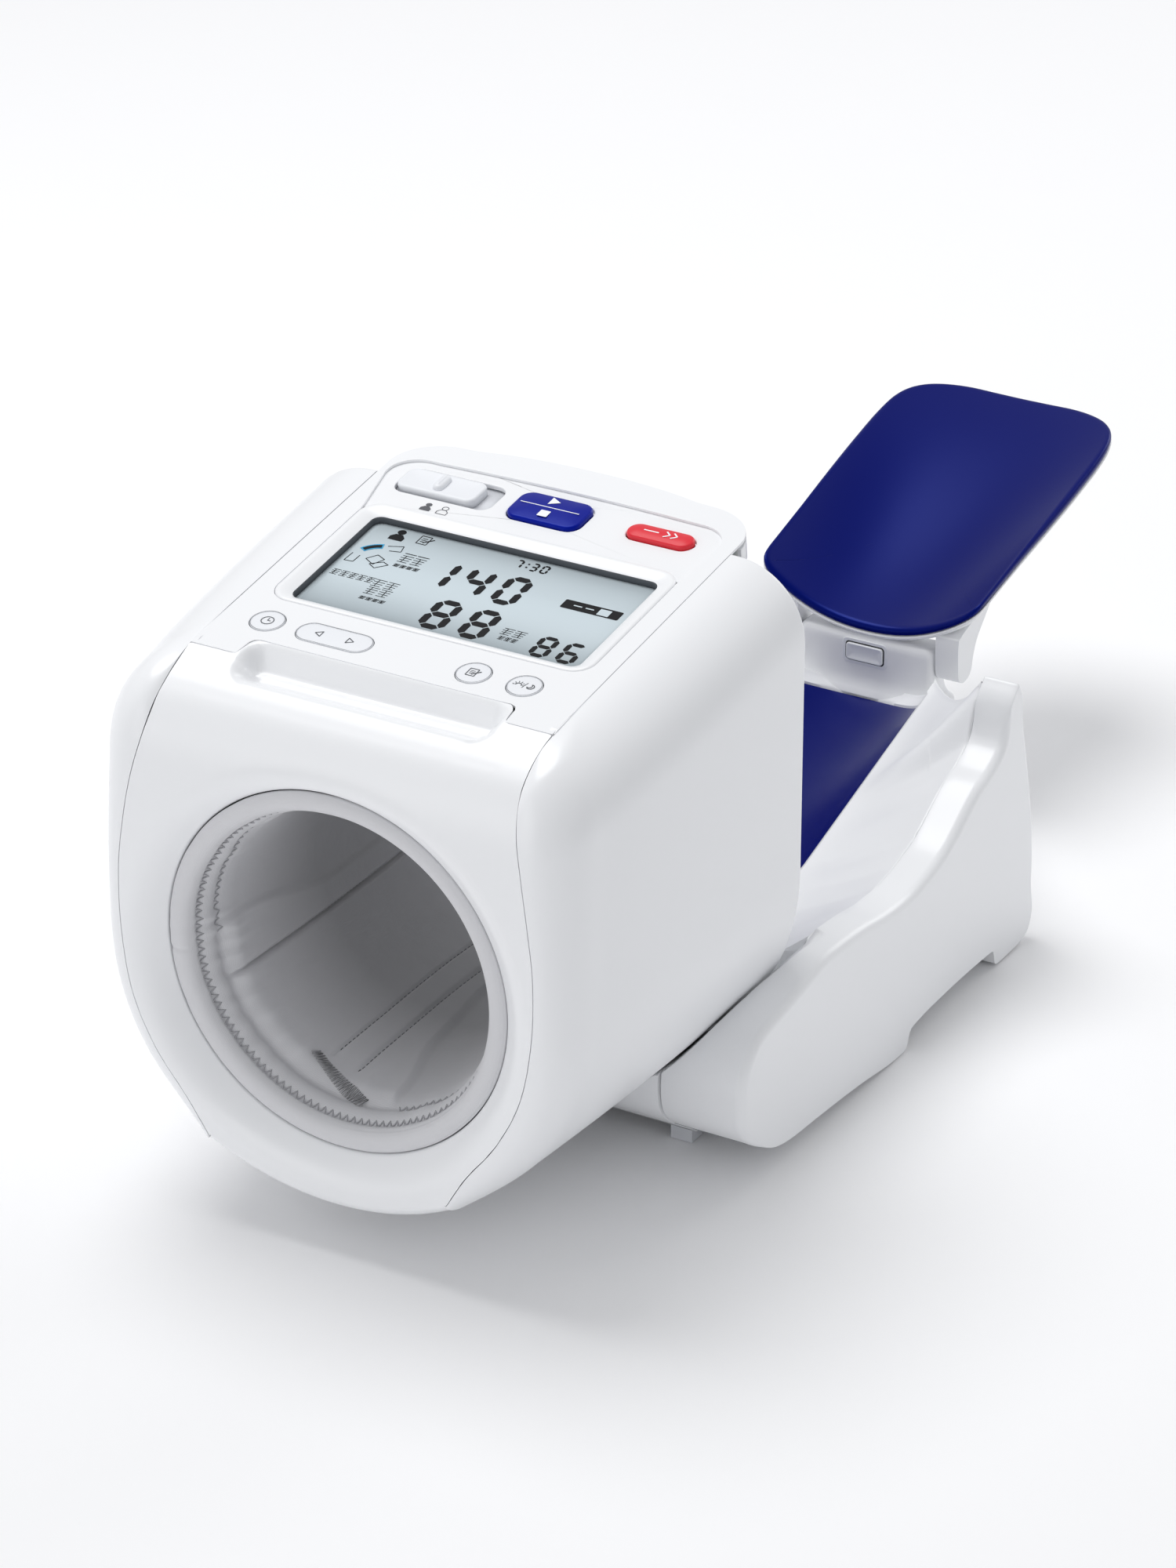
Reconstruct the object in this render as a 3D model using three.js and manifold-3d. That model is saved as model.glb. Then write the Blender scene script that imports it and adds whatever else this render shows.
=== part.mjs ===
// Arm-through blood pressure monitor: a tilting cuff drum on a cradle base with a fold-up arm rest.
// Millimetres, +Z up. The user sits at -Y and pushes an arm through the drum towards +Y.
import * as THREE from "three";
import { mergeVertices } from "three/addons/utils/BufferGeometryUtils.js";
import Module from "manifold-3d";

const wasm = await Module();
wasm.setup();

// ---- driving sizes -------------------------------------------------------
const FRAME_SHIFT = -266.95;     // moves the drawing's Y so that the part is centred
const BORE_Z = 110;              // height of the cuff bore's axis
const BORE_R = 70;               // hard edge of the arm opening
const DRUM_HALF_W = 96;          // half width of the drum just behind its front shoulder
const DRUM_GROW = 9;             // how much that half width grows towards the back
const TOP_CORNER = 28;           // corner radius between the drum's top and sides
const TOP_SLOPE = THREE.MathUtils.degToRad(7.9);
const PANEL_Y = 28.5, PANEL_Z = 211.9;   // front end of the sloping control panel
const PANEL_HALF_W = 73.6;
const WALL = 2.6;                // shell thickness
const GAP = 0.5;                 // clearance between shells
const BASE_HALF_W = 112;
const SLAB = 15;                 // thickness of the base's side shells
const TILT_Y = 130, TILT_Z = 40, TILT_MAX = 15;
const REST_Y = 410, REST_Z = 68; // arm rest hinge

const WHITE = { color: "#eef0f3", roughness: 0.28 };
const NAVY = { color: "#10186b", roughness: 0.25 };
const RED = { color: "#e0343a", roughness: 0.35 };
const GREY_FABRIC = { color: "#9a9ba3", roughness: 0.95 };
const RUBBER = { color: "#3a3c40", roughness: 0.8 };
const STEEL = { color: "#b9bdc2", roughness: 0.3, metalness: 1 };
const BOARD = { color: "#2f6b46", roughness: 0.6 };
const LCD = { color: "#b5c4cb", roughness: 0.3 };
const BLACK = { color: "#25272b", roughness: 0.5 };

// ---- small tools ---------------------------------------------------------
const part = new THREE.Group();
part.name = "blood_pressure_monitor";

function solid(geometry) {
  const clean = geometry.clone();
  for (const name of Object.keys(clean.attributes))
    if (name !== "position") clean.deleteAttribute(name);
  const merged = mergeVertices(clean, 1e-4), triVerts = new Uint32Array(merged.index.array);
  const vertProperties = new Float32Array(merged.attributes.position.array);
  const made = new wasm.Manifold(new wasm.Mesh({ numProp: 3, vertProperties, triVerts }));
  if (made.volume() > 0) return made;
  for (let i = 0; i < triVerts.length; i += 3) [triVerts[i], triVerts[i + 1]] = [triVerts[i + 1],
    triVerts[i]];
  return new wasm.Manifold(new wasm.Mesh({ numProp: 3, vertProperties, triVerts }));
}

function add(name, shape, look) {
  const made = shape.getMesh();
  const geometry = new THREE.BufferGeometry();
  const xyz = new Float32Array(made.numVert * 3);
  for (let i = 0; i < made.numVert; i++)
    for (let k = 0; k < 3; k++) xyz[3 * i + k] = made.vertProperties[i * made.numProp + k];
  geometry.setAttribute("position", new THREE.BufferAttribute(xyz, 3));
  geometry.setIndex(new THREE.BufferAttribute(new Uint32Array(made.triVerts), 1));
  geometry.translate(0, FRAME_SHIFT, 0);
  geometry.computeVertexNormals();
  const mesh = new THREE.Mesh(geometry, new THREE.MeshStandardMaterial(look));
  mesh.name = name;
  part.add(mesh);
}

const box = (x0, x1, y0, y1, z0, z1) =>
  solid(new THREE.BoxGeometry(x1 - x0, y1 - y0, z1 - z0).translate((x0 + x1) / 2, (y0 + y1) / 2,
    (z0 + z1) / 2));

function extrude(outline, depth) {
  const shape = new THREE.Shape(outline.map(([a, b]) => new THREE.Vector2(a, b)));
  return new THREE.ExtrudeGeometry(shape, { depth, bevelEnabled: false });
}
const basis = (x, y, z) => new THREE.Matrix4().makeBasis(x, y, z);
const X = new THREE.Vector3(1, 0, 0), Y = new THREE.Vector3(0, 1, 0), Z = new THREE.Vector3(0, 0, 1);
// outline in (x, y), running up from z0 to z1
const plate = (outline, z0, z1) => solid(extrude(outline, z1 - z0).translate(0, 0, z0));
// outline in (y, z), running from x0 to x1
const slabX = (outline, x0, x1) => solid(extrude(outline, x1 - x0).applyMatrix4(basis(Y, Z,
  X)).translate(x0, 0, 0));
// outline in (x, z), running from y0 to y1
const slabY = (outline, y0, y1) =>
  solid(extrude(outline, y1 - y0).applyMatrix4(basis(X, Z, Y.clone().negate())).translate(0, y1, 0));
const rodX = (r, x0, x1, y, z, n = 28) =>
  solid(new THREE.CylinderGeometry(r, r, x1 - x0, n).rotateZ(Math.PI / 2).translate((x0 + x1) / 2, y,
    z));
const rodY = (r, y0, y1, x, z, n = 28) =>
  solid(new THREE.CylinderGeometry(r, r, y1 - y0, n).translate(x, (y0 + y1) / 2, z));
const rodZ = (r, z0, z1, x, y, n = 28) =>
  solid(new THREE.CylinderGeometry(r, r, z1 - z0, n).rotateX(Math.PI / 2).translate(x, y,
    (z0 + z1) / 2));

function roundRect(cx, cy, w, h, r, steps = 4) {
  const points = [];
  for (const [sx, sy, start] of [[1, 1, 0], [-1, 1, 90], [-1, -1, 180], [1, -1, 270]])
    for (let i = 0; i <= steps; i++) {
      const a = THREE.MathUtils.degToRad(start + 90 * i / steps);
      points.push([cx + sx * (w / 2 - r) + r * Math.cos(a), cy + sy * (h / 2 - r) + r * Math.sin(a)]);
    }
  return points;
}

// closed skin between an outer and an inner grid of points; ring grids close on themselves
function skin(outer, inner, ring = false) {
  const rows = outer.length, cols = outer[0].length, xyz = [], index = [];
  for (const grid of [outer, inner]) for (const row of grid) for (const p of row) xyz.push(p.x, p.y,
    p.z);
  const id = (side, i, j) => side * rows * cols + (i % rows) * cols + j;
  const quad = (a, b, c, d) => index.push(a, b, c, a, c, d);
  const last = ring ? rows : rows - 1;
  for (let i = 0; i < last; i++)
    for (let j = 0; j < cols - 1; j++) {
      quad(id(0, i, j), id(0, i + 1, j), id(0, i + 1, j + 1), id(0, i, j + 1));
      quad(id(1, i, j), id(1, i, j + 1), id(1, i + 1, j + 1), id(1, i + 1, j));
    }
  for (let i = 0; i < last; i++) {
    quad(id(0, i, 0), id(1, i, 0), id(1, i + 1, 0), id(0, i + 1, 0));
    quad(id(0, i, cols - 1), id(0, i + 1, cols - 1), id(1, i + 1, cols - 1), id(1, i, cols - 1));
  }
  if (!ring) for (let j = 0; j < cols - 1; j++) {
    quad(id(0, 0, j), id(0, 0, j + 1), id(1, 0, j + 1), id(1, 0, j));
    quad(id(0, rows - 1, j), id(1, rows - 1, j), id(1, rows - 1, j + 1), id(0, rows - 1, j + 1));
  }
  const geometry = new THREE.BufferGeometry();
  geometry.setAttribute("position", new THREE.Float32BufferAttribute(xyz, 3));
  geometry.setIndex(index);
  return solid(geometry);
}

// one shape cut back from its neighbours with a little air between, keeping its main body
function clear(shape, neighbours, air = 0.35) {
  for (const other of neighbours)
    for (const shift of [[0, 0, 0], [air, 0, 0], [-air, 0, 0], [0, air, 0], [0, -air, 0], [0, 0,
    air], [0, 0, -air]])
      shape = shape.subtract(other.translate(shift));
  return shape.decompose().sort((a, b) => b.volume() - a.volume())[0].simplify(0.03);
}

// the same grid moved inward along its own normals; "inside" tells which way is in
function offset(grid, distance, inside, ring = false) {
  const rows = grid.length, cols = grid[0].length;
  return grid.map((row, i) => row.map((p, j) => {
    const up = grid[ring ? (i + 1) % rows : Math.min(i + 1, rows - 1)][j];
    const down = grid[ring ? (i + rows - 1) % rows : Math.max(i - 1, 0)][j];
    const right = row[Math.min(j + 1, cols - 1)], left = row[Math.max(j - 1, 0)];
    const n = up.clone().sub(down).cross(right.clone().sub(left)).normalize();
    if (n.dot(inside.clone().sub(p)) < 0) n.negate();
    return p.clone().addScaledVector(n, distance);
  }));
}

// ---- the drum's form -----------------------------------------------------
const smooth = (a, b, t) => THREE.MathUtils.smoothstep(t, a, b);
const grow = (y) => DRUM_GROW * (1 - Math.exp(-Math.max(y - 8, 0) / 50));
const panelTop = (y) => PANEL_Z + (y - PANEL_Y) * Math.tan(TOP_SLOPE);

// distance from the bore axis to the drum's side, for a direction t measured up from +X
function drumRadius(t, y) {
  const w = DRUM_HALF_W + grow(y) * (t < 0 ? smooth(-1.0, -0.35, t) : 1);
  if (t <= 0) return w;
  const top = panelTop(y) - BORE_Z, c = Math.cos(t), s = Math.sin(t);
  if (w * s / c <= top - TOP_CORNER) return w / c;
  if (top * c / s <= w - TOP_CORNER) return top / s;
  const cx = w - TOP_CORNER, cz = top - TOP_CORNER, along = cx * c + cz * s;
  return along + Math.sqrt(along * along - cx * cx - cz * cz + TOP_CORNER * TOP_CORNER);
}
const onDrum = (t, y, inset = 0) => {
  const r = drumRadius(t, y) - inset;
  return new THREE.Vector3(r * Math.cos(t), y, BORE_Z + r * Math.sin(t));
};

// front seam between the keyhole front and the side cover, from the top down to the curled tip
const FRONT_SEAM = new THREE.CatmullRomCurve3([
  [73.8, 28, 211.6], [73.4, 15, 207.2], [74.2, 2, 198], [77.5, -5, 182], [82, -8, 160], [85, -8.6, 134],
  [84.4, -9, 108], [79.5, -10, 84], [69, -11.5, 63.5], [57, -10, 47], [49.6, -7, 34.5],
].map((p) => new THREE.Vector3(...p)), false, "centripetal");
const frontY = (z) => {                       // the front face's depth at a height, read off the seam
  let best = 0;
  let miss = 1e9;
  for (let u = 0; u <= 1.0001; u += 0.01) {
    const p = FRONT_SEAM.getPoint(Math.min(u, 1));
    if (Math.abs(p.z - z) >= miss) continue;
    miss = Math.abs(p.z - z);
    best = p.y;
  }
  return best;
};
const angleOf = (p) => Math.atan2(p.z - BORE_Z, p.x);
const coverRear = (t) => 151 + 3 * smooth(0.9, 0.3, t) - 9 * smooth(-0.6, -0.95, t);

function shoulder(start, t, rear, steps, rollUp) {
  const row = [], end = start.y + 25;
  for (const a of [0, 22, 44, 66, 90]) {
    const f = THREE.MathUtils.degToRad(a), target = onDrum(t, end);
    const side = THREE.MathUtils.lerp(Math.sin(f), 1 - Math.cos(f), rollUp), deep = 1 - Math.cos(f);
    row.push(new THREE.Vector3(
      THREE.MathUtils.lerp(start.x, target.x, side),
      THREE.MathUtils.lerp(start.y, target.y, deep),
      THREE.MathUtils.lerp(start.z, target.z, side)));
  }
  for (let k = 1; k <= steps; k++) row.push(onDrum(t, THREE.MathUtils.lerp(end, rear, k / steps)));
  return row;
}
const AXIS_POINT = new THREE.Vector3(0, 90, BORE_Z);

// side covers
const coverGrid = [];
for (let i = 0; i <= 22; i++) {
  const u = i / 22, start = FRONT_SEAM.getPoint(u), t = angleOf(start);
  const pushed = start.clone();
  const out = new THREE.Vector3(start.x, 0, start.z - BORE_Z).normalize();
  pushed.addScaledVector(out, GAP);
  coverGrid.push(shoulder(pushed, t, coverRear(t), 4, 1 - smooth(0, 0.2, u)));
}
const coverRight = skin(coverGrid, offset(coverGrid, WALL, AXIS_POINT)).subtract(rodX(5.6, 50, 90,
  TILT_Y, TILT_Z, 24));
const coverLeft = coverRight.mirror([1, 0, 0]);
add("side_cover_right", coverRight, WHITE);
add("side_cover_left", coverLeft, WHITE);

// strip under the drum, between the two cover tips
const TIP = angleOf(FRONT_SEAM.getPoint(1));
const underGrid = [];
for (let i = 0; i <= 12; i++) {
  const t = THREE.MathUtils.lerp(TIP - 0.012, -Math.PI - TIP + 0.012, i / 12);
  const lift = 3 * Math.cos((t + Math.PI / 2) * 1.6);
  const start = new THREE.Vector3((90 - lift) * Math.cos(t), -7 - lift * 0.6,
    BORE_Z + (90 - lift) * Math.sin(t));
  underGrid.push(shoulder(start, t, 142, 3, 0));
}
const underside = clear(skin(underGrid, offset(underGrid, WALL, AXIS_POINT)), [coverRight,
  coverLeft], 0.2);
add("drum_underside", underside, WHITE);

// keyhole front panel, dished into the arm opening and rolled back over the top
function frontRim(t) {                        // outer edge of the front panel for a direction t
  const a = t > Math.PI / 2 ? Math.PI - t : t < -Math.PI / 2 ? -Math.PI - t : t;
  const mirror = a === t ? 1 : -1;
  let p;
  const corner = angleOf(FRONT_SEAM.getPoint(0));
  if (a >= corner) p = new THREE.Vector3(101.4 / Math.tan(a), 24, BORE_Z + 101.2);
  else if (a <= TIP) {
    const lift = 3 * Math.cos((a + Math.PI / 2) * 1.6);
    p = new THREE.Vector3((89.2 - lift) * Math.cos(a), -7 - lift * 0.6,
    BORE_Z + (89.2 - lift) * Math.sin(a));
  } else {
    let low = 0;
    let high = 1;
    for (let k = 0; k < 30; k++) {
      const mid = (low + high) / 2;
      if (angleOf(FRONT_SEAM.getPoint(mid)) > a) low = mid;
      else high = mid;
    }
    p = FRONT_SEAM.getPoint(low);
    const out = new THREE.Vector3(p.x, 0, p.z - BORE_Z).normalize();
    p.addScaledVector(out, -0.3);
  }
  return new THREE.Vector3(p.x * mirror, p.y, p.z);
}
const frontGrid = [];
for (let i = 0; i < 52; i++) {
  const t = -Math.PI / 2 + 2 * Math.PI * i / 52, a = t > Math.PI ? t - 2 * Math.PI : t;
  const rim = frontRim(a), reach = Math.hypot(rim.x, rim.z - BORE_Z), row = [];
  for (const s of [0, 0.1, 0.4, 0.7, 0.88, 1]) {
    const r = THREE.MathUtils.lerp(BORE_R, reach, s), x = r * Math.cos(a), z = BORE_Z + r * Math.sin(a);
    const face = s === 1 ? rim.y : z > 194 ? THREE.MathUtils.lerp(frontY(194), rim.y,
    ((z - 194) / (rim.z - 194)) ** 2)
      : Math.min(frontY(Math.max(z, 36)), rim.y);
    const dish = Math.max(0, (84 - r) / 14) ** 2 * -face;
    row.push(new THREE.Vector3(x, s === 1 ? rim.y : face + dish, z));
  }
  frontGrid.push(row);
}
const behind = new THREE.Vector3(0, 400, BORE_Z);
let frontPanel = skin(frontGrid, offset(frontGrid, WALL, behind, true), true);

// finger grip: a scooped slot along the top front edge, lined by its own cup
const GRIP_HALF = 54;
frontPanel = frontPanel.subtract(box(-GRIP_HALF - 0.4, GRIP_HALF + 0.4, 13, 60, 190, 230));
frontPanel = clear(frontPanel, [coverRight, coverLeft, underside]);
add("front_panel", frontPanel, WHITE);
const gripOuter = [[12.6, 199], [14.2, 206.4], [15.4, 206.6], [18, 202.6], [24, 200.4], [30, 202.6],
  [34.6, 211.4],
  [36.4, 209.8], [33, 200.4], [24, 197.2], [17, 198.4]];
add("grip_cup", clear(slabX(gripOuter.map(([y, z]) => [y + 0.8, z - 1.8]), -GRIP_HALF, GRIP_HALF),
  [frontPanel]), WHITE);

// ---- control panel, drawn flat then laid on the slope ---------------------
const toPanel = new THREE.Matrix4()
  .makeTranslation(0, PANEL_Y, PANEL_Z)
  .multiply(new THREE.Matrix4().makeRotationX(TOP_SLOPE));
const lay = (made) => made.transform(toPanel.elements);
const disc = (x, v, r, w0, w1) => rodZ(r, w0, w1, x, v, 24);

const LCD_V = 68.2;                          // middle of the display along the panel
const rounds = { clock_button: [-55.6, 18.6], memory_button: [29.2, 18.6], daytime_button: [49.7,
  18.6] };
const REAR_V = 154;
const panelOutline = [[-PANEL_HALF_W, -3.6], [PANEL_HALF_W, -3.6], [PANEL_HALF_W, 130],
  [71, 140], [66, 146.5], [58, 151], [30, REAR_V], [-30, REAR_V], [-58, 151], [-66, 146.5], [-71,
    140], [-PANEL_HALF_W, 130]];
let top = plate(panelOutline, -3, 0);
const rearSkirt = plate(panelOutline, -15, -1)
  .subtract(plate(panelOutline.map(([x, v]) => [x * 0.965, v - 2.8]), -16, 0))
  .subtract(plate([[-90, -20], [90, -20], [90, 128.5], [-90, 128.5]], -20, -2.9));
top = top.add(rearSkirt);
top = top.subtract(plate(roundRect(0, 72.5, 137, 129, 9), -1, 2));
top = top.subtract(plate(roundRect(0, 0, 2 * GRIP_HALF + 0.8, 13.4, 3), -6, 3));
top = top.subtract(plate(roundRect(0, LCD_V + 1, 131, 72.4, 5), -4, 3));
for (const [x, v] of Object.values(rounds)) top = top.subtract(disc(x, v, 6.8, -4, 3));
top = top.subtract(plate(roundRect(-27.7, 18.6, 31.4, 12.6, 6.2), -4, 3));
top = top.subtract(plate(roundRect(-1, 123.8, 31.6, 19.2, 3.4), -4, 3));
top = top.subtract(plate(roundRect(44.7, 124.2, 28, 10.4, 5.1), -4, 3));
top = top.subtract(plate(roundRect(-43.4, 124, 41, 16.4, 3), -1.9, 3));
top = top.subtract(plate(roundRect(-43.4, 124, 33, 3, 1.4), -4, 3));
add("top_panel", clear(lay(top), [coverRight, coverLeft, frontPanel]), WHITE);

const lens = plate(roundRect(0, LCD_V + 1, 130, 71.4, 4.6), -2.4, -0.2);
add("display_lens", lay(lens), WHITE);
add("display_module", lay(plate(roundRect(0, LCD_V, 122, 63, 2), -7.4, -2.8)), LCD);
add("main_board", lay(plate(roundRect(0, 71, 134, 126, 3, 2), -11, -9.4)), BOARD);
for (const [name, [x, v]] of Object.entries(rounds))
  add(name, lay(disc(x, v, 6.4, -7, 0.4)), WHITE);
add("memory_rocker", lay(plate(roundRect(-27.7, 18.6, 30.4, 11.6, 5.7), -6.6, 0.4)), WHITE);
add("start_stop_button", lay(plate(roundRect(-1, 123.8, 30.6, 18.2, 3), -6.6, 0.9)), NAVY);
add("deflate_button", lay(plate(roundRect(44.7, 124.2, 27, 9.4, 4.6), -6.6, 0.9)), RED);
const knob = plate(roundRect(-46.6, 124, 33, 14.6, 2.6), -1.6, 0.4)
  .add(plate(roundRect(-46.6, 124, 3.2, 12, 1.4), 0.3, 1.6))
  .add(plate(roundRect(-46.6, 124, 6, 2.2, 1), -5, -1.5));
add("user_switch", lay(knob), WHITE);

// ---- drum insides -----------------------------------------------------------
function tube(r0, r1, y0, y1, n = 48) {
  const profile = [[r0, y0], [r1, y0], [r1, y1], [r0, y1], [r0, y0]].map(([r,
    y]) => new THREE.Vector2(r, y));
  return solid(new THREE.LatheGeometry(profile, n).translate(0, 0, BORE_Z));
}
add("arm_tube", tube(71.2, 74, 8, 150), WHITE);
const liner = [[69.2, 0.6], [65.4, -1.4], [60.4, 1], [57, 26], [55.6, 75], [57, 124], [61.4, 148.5],
  [69, 151.5], [69, 146], [62, 138], [58.2, 75], [61.4, 12], [66, 6], [69.2, 6], [69.2, 0.6]]
  .map(([r, y]) => new THREE.Vector2(r, y));
add("cuff_liner", solid(new THREE.LatheGeometry(liner, 36).translate(0, 0, BORE_Z)), GREY_FABRIC);
add("cuff_bladder", tube(63.2, 65.4, 16, 132, 36), BLACK);
add("cuff_band", tube(66.8, 68.2, 12, 136, 36), BLACK);
add("air_pump", rodY(13.5, 38, 84, 71, 182, 28).add(rodY(3, 83.5, 90, 71, 182, 12)), STEEL);
add("exhaust_valve", box(-82, -62, 44, 62, 175, 189).add(rodY(2.6, 61.5, 68, -72, 182, 12)), BLACK);
add("pressure_sensor", lay(plate(roundRect(20, 110, 14, 12, 1, 1), -16, -11.6)), BLACK);
const hosePath = new THREE.CatmullRomCurve3([[71, 91, 182], [70, 104, 183.5], [40, 112, 190], [0,
  113, 191], [-40, 108, 190],
  [-66, 92, 184.5], [-72, 70, 182]].map((p) => new THREE.Vector3(...p)));
const hoseSection = new THREE.Shape(roundRect(0, 0, 5, 5, 2.49, 2).map(([a,
  b]) => new THREE.Vector2(a, b)));
add("air_hose", solid(new THREE.ExtrudeGeometry(hoseSection, { steps: 14, bevelEnabled: false,
  extrudePath: hosePath })), RUBBER);

// back of the drum with the arm's exit opening
function drumOutline(y, inset, count = 15) {
  const half = [];
  for (let i = 0; i <= count; i++) {
    const t = THREE.MathUtils.lerp(-Math.PI / 2, Math.PI / 2, i / count);
    const p = onDrum(Math.min(t, 1.5), y, 0);
    const r = Math.hypot(p.x, p.z - BORE_Z), k = (r - inset) / r;
    if (i > 0 && i < count) half.push([p.x * k, BORE_Z + (p.z - BORE_Z) * k]);
  }
  const bottom = [0, BORE_Z - drumRadius(-Math.PI / 2, y) + inset], crown = [0, panelTop(y) - inset];
  return [bottom, ...half, crown, ...half.slice().reverse().map(([x, z]) => [-x, z])];
}
const rearSlope = slabX([[100, 0], [146, 0], [146, 20], [158, 60], [178.5, 214.4], [120, 206.2],
  [100, 203.4]], -110, 110);
let rear = slabY(drumOutline(140, 5.6), 132, 180).intersect(rearSlope);
rear = rear.subtract(slabY(drumOutline(140, 8.2), 131, 150));
rear = rear.subtract(slabY(drumOutline(140, 20), 149, 154));
rear = rear.subtract(rodY(75, 120, 200, 0, BORE_Z, 48));
rear = rear.subtract(rodX(6, -90, 90, TILT_Y, TILT_Z, 20));
rear = rear.subtract(box(-PANEL_HALF_W, PANEL_HALF_W, 149, 174, 197, 215));
add("rear_panel", rear, WHITE);

// ---- base ---------------------------------------------------------------
const tiltAxis = new THREE.Vector3(0, TILT_Y, TILT_Z);
const sweep = (() => {                        // room the tilting drum needs
  let room = null;
  for (const a of [-1, 4, 9, 14, TILT_MAX + 0.5]) {
    const turned = rodY(106.6, -30, 166, 0, BORE_Z, 56).translate([0, -tiltAxis.y, -tiltAxis.z])
      .rotate([-a, 0, 0]).translate([0, tiltAxis.y, tiltAxis.z]);
    room = room ? room.add(turned) : turned;
  }
  return room.subtract(box(-140, 140, 0, 230, -40, 9.6));
})();
const sideOutline = [[314, 118], [303, 97], [280, 86], [259, 74], [243, 69], [226, 66.5], [208,
  67.5], [192, 70], [175, 71.6],
  [157, 72], [135, 68], [111, 65], [103, 61], [97, 53.5], [94.4, 46], [94.4, 33], [98, 26], [104,
    20], [113, 14], [127, 9], [152, 8],
  [190, 5], [214, 2], [229, 5], [242, 7.6], [258, 8.3], [288, 8.8], [296, 7.4], [304, 1.5], [325,
    1.4], [332, 8],
  [334, 35], [331, 57], [323, 88], [317, 110]];
const inside = BASE_HALF_W - SLAB;
const NOSE_IN = 78;                           // inner face of the shells' thick front ends
let sideRight = slabX(sideOutline, inside, BASE_HALF_W)
  .add(slabX(sideOutline.filter(([y]) => y < 158).concat([[150, 10]]).filter(([y,
  z]) => !(y > 151 && z < 9)), NOSE_IN, inside + 0.1)
    .intersect(box(70, 120, 90, 150, 9.9, 80)));
sideRight = sideRight.subtract(sweep);
sideRight = sideRight.subtract(slabX([[170, 20], [300, 20], [318, 40], [308, 70], [262, 62], [200,
  56], [170, 56]], inside - 1, BASE_HALF_W - 3));
const cradleNose = sideOutline.filter(([y, z]) => y < 130 && z < 62);
const cradle = slabX([[150, 62], ...cradleNose, [150, 9]], 45, NOSE_IN - 0.7).intersect(box(40, 80,
  90, 150, 9.9, 60))
  .subtract(sweep).subtract(rodX(5.6, 60, 82, TILT_Y, TILT_Z, 24));
const cradleRight = cradle.decompose().sort((a, b) => b.volume() - a.volume())[0].simplify(0.03);
add("cradle_right", cradleRight, WHITE);
add("cradle_left", cradleRight.mirror([1, 0, 0]), WHITE);
const sideLeft = sideRight.mirror([1, 0, 0]).subtract(rodX(5.2, -120, -90, 296, 34, 24));
const trunnionBore = rodX(5.2, 60, 101, TILT_Y, TILT_Z, 24);
add("side_shell_right", sideRight.subtract(trunnionBore), WHITE);
add("side_shell_left", sideLeft.subtract(trunnionBore.mirror([1, 0, 0])), WHITE);
const jack = rodX(4.8, -111.4, -96, 296, 34, 24).subtract(rodX(3.4, -113, -100, 296, 34, 20))
  .add(box(-96.4, -84, 289, 303, 27, 41));
add("power_inlet", jack, BLACK);
const trunnion = rodX(4.9, 62, 100, TILT_Y, TILT_Z, 24);
add("tilt_pin_right", trunnion, STEEL);
add("tilt_pin_left", trunnion.mirror([1, 0, 0]), STEEL);

// trough: height of the upper case across the base
const bandZ = (y) => {
  const line = sideOutline.slice(0, 11);
  for (let i = 0; i + 1 < line.length; i++)
    if (y <= line[i][0] && y >= line[i + 1][0])
      return THREE.MathUtils.lerp(line[i + 1][1], line[i][1],
      (y - line[i + 1][0]) / (line[i][0] - line[i + 1][0]));
  return y > 300 ? 118 : 71.6;
};
const TROUGH_HALF = 45;
const ROUNDNESS = 0.96;                       // how close the trough's section comes to a half circle
const edgeZ = (y) => y < 265 ? 44 - 0.1 * (265 - y) : 44 + 0.293 * (y - 265);
const floorZ = (y) => y < 240 ? 24 : 24 + 25 * ((y - 240) / 160) ** 1.15;
const insertRear = (x) => 400 - 31 * (x / TROUGH_HALF) ** 2;
const caseRear = (x) =>
  Math.abs(x) < 46 ? 410 - 31 * (x / TROUGH_HALF) ** 2 : 377.6 - (Math.abs(x) - 46) * 1.25;
function trough(x, y) {
  const a = Math.abs(x), lip = edgeZ(y), deep = Math.min(floorZ(y), lip - 6);
  const round = (part) => 1 - Math.sqrt(1 - (ROUNDNESS * part) ** 2);
  if (a <= TROUGH_HALF) return deep + (lip - deep) * round(a / TROUGH_HALF) / round(1);
  const wall = Math.max(bandZ(Math.min(y, 314)) - 1.2, lip + 2),
    f = (a - TROUGH_HALF) / (inside - TROUGH_HALF);
  return THREE.MathUtils.lerp(lip, wall, f ** 1.25);
}
// solid between the trough surface (lowered by drop) and a floor, over a plan grid
function troughBlock(drop, floor, x0, x1, y0, rearOf, nx = 20, ny = 14) {
  const up = [], down = [];
  for (let i = 0; i <= nx; i++) {
    const x = THREE.MathUtils.lerp(x0, x1, i / nx), a = [], b = [];
    for (let j = 0; j <= ny; j++) {
      const y = THREE.MathUtils.lerp(y0, rearOf(x), j / ny);
      a.push(new THREE.Vector3(x, y, trough(x, y) - drop));
      b.push(new THREE.Vector3(x, y, floor));
    }
    up.push(a);
    down.push(b);
  }
  return skin(up, down);
}
const CASE_FRONT = 178, FLOOR = 9.6;
const W0 = inside - 0.4;
let upper = troughBlock(0, -20, -W0, W0, CASE_FRONT, caseRear, 16, 8)
  .add(box(-31.8, 31.8, 390, 418, 36, 51)).add(box(-20, 20, 392, 404, 36, 51));
upper = upper.subtract(troughBlock(3, -30, -W0 + 3, W0 - 3, CASE_FRONT + 3, (x) => caseRear(x) - 4,
  12, 7))
  .subtract(box(-120, 120, 100, 330, -40, FLOOR + 0.5)).subtract(slabX([[322, -40], [322, 10.4],
  [425, 43.6], [425, -40]], -120, 120));
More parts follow.
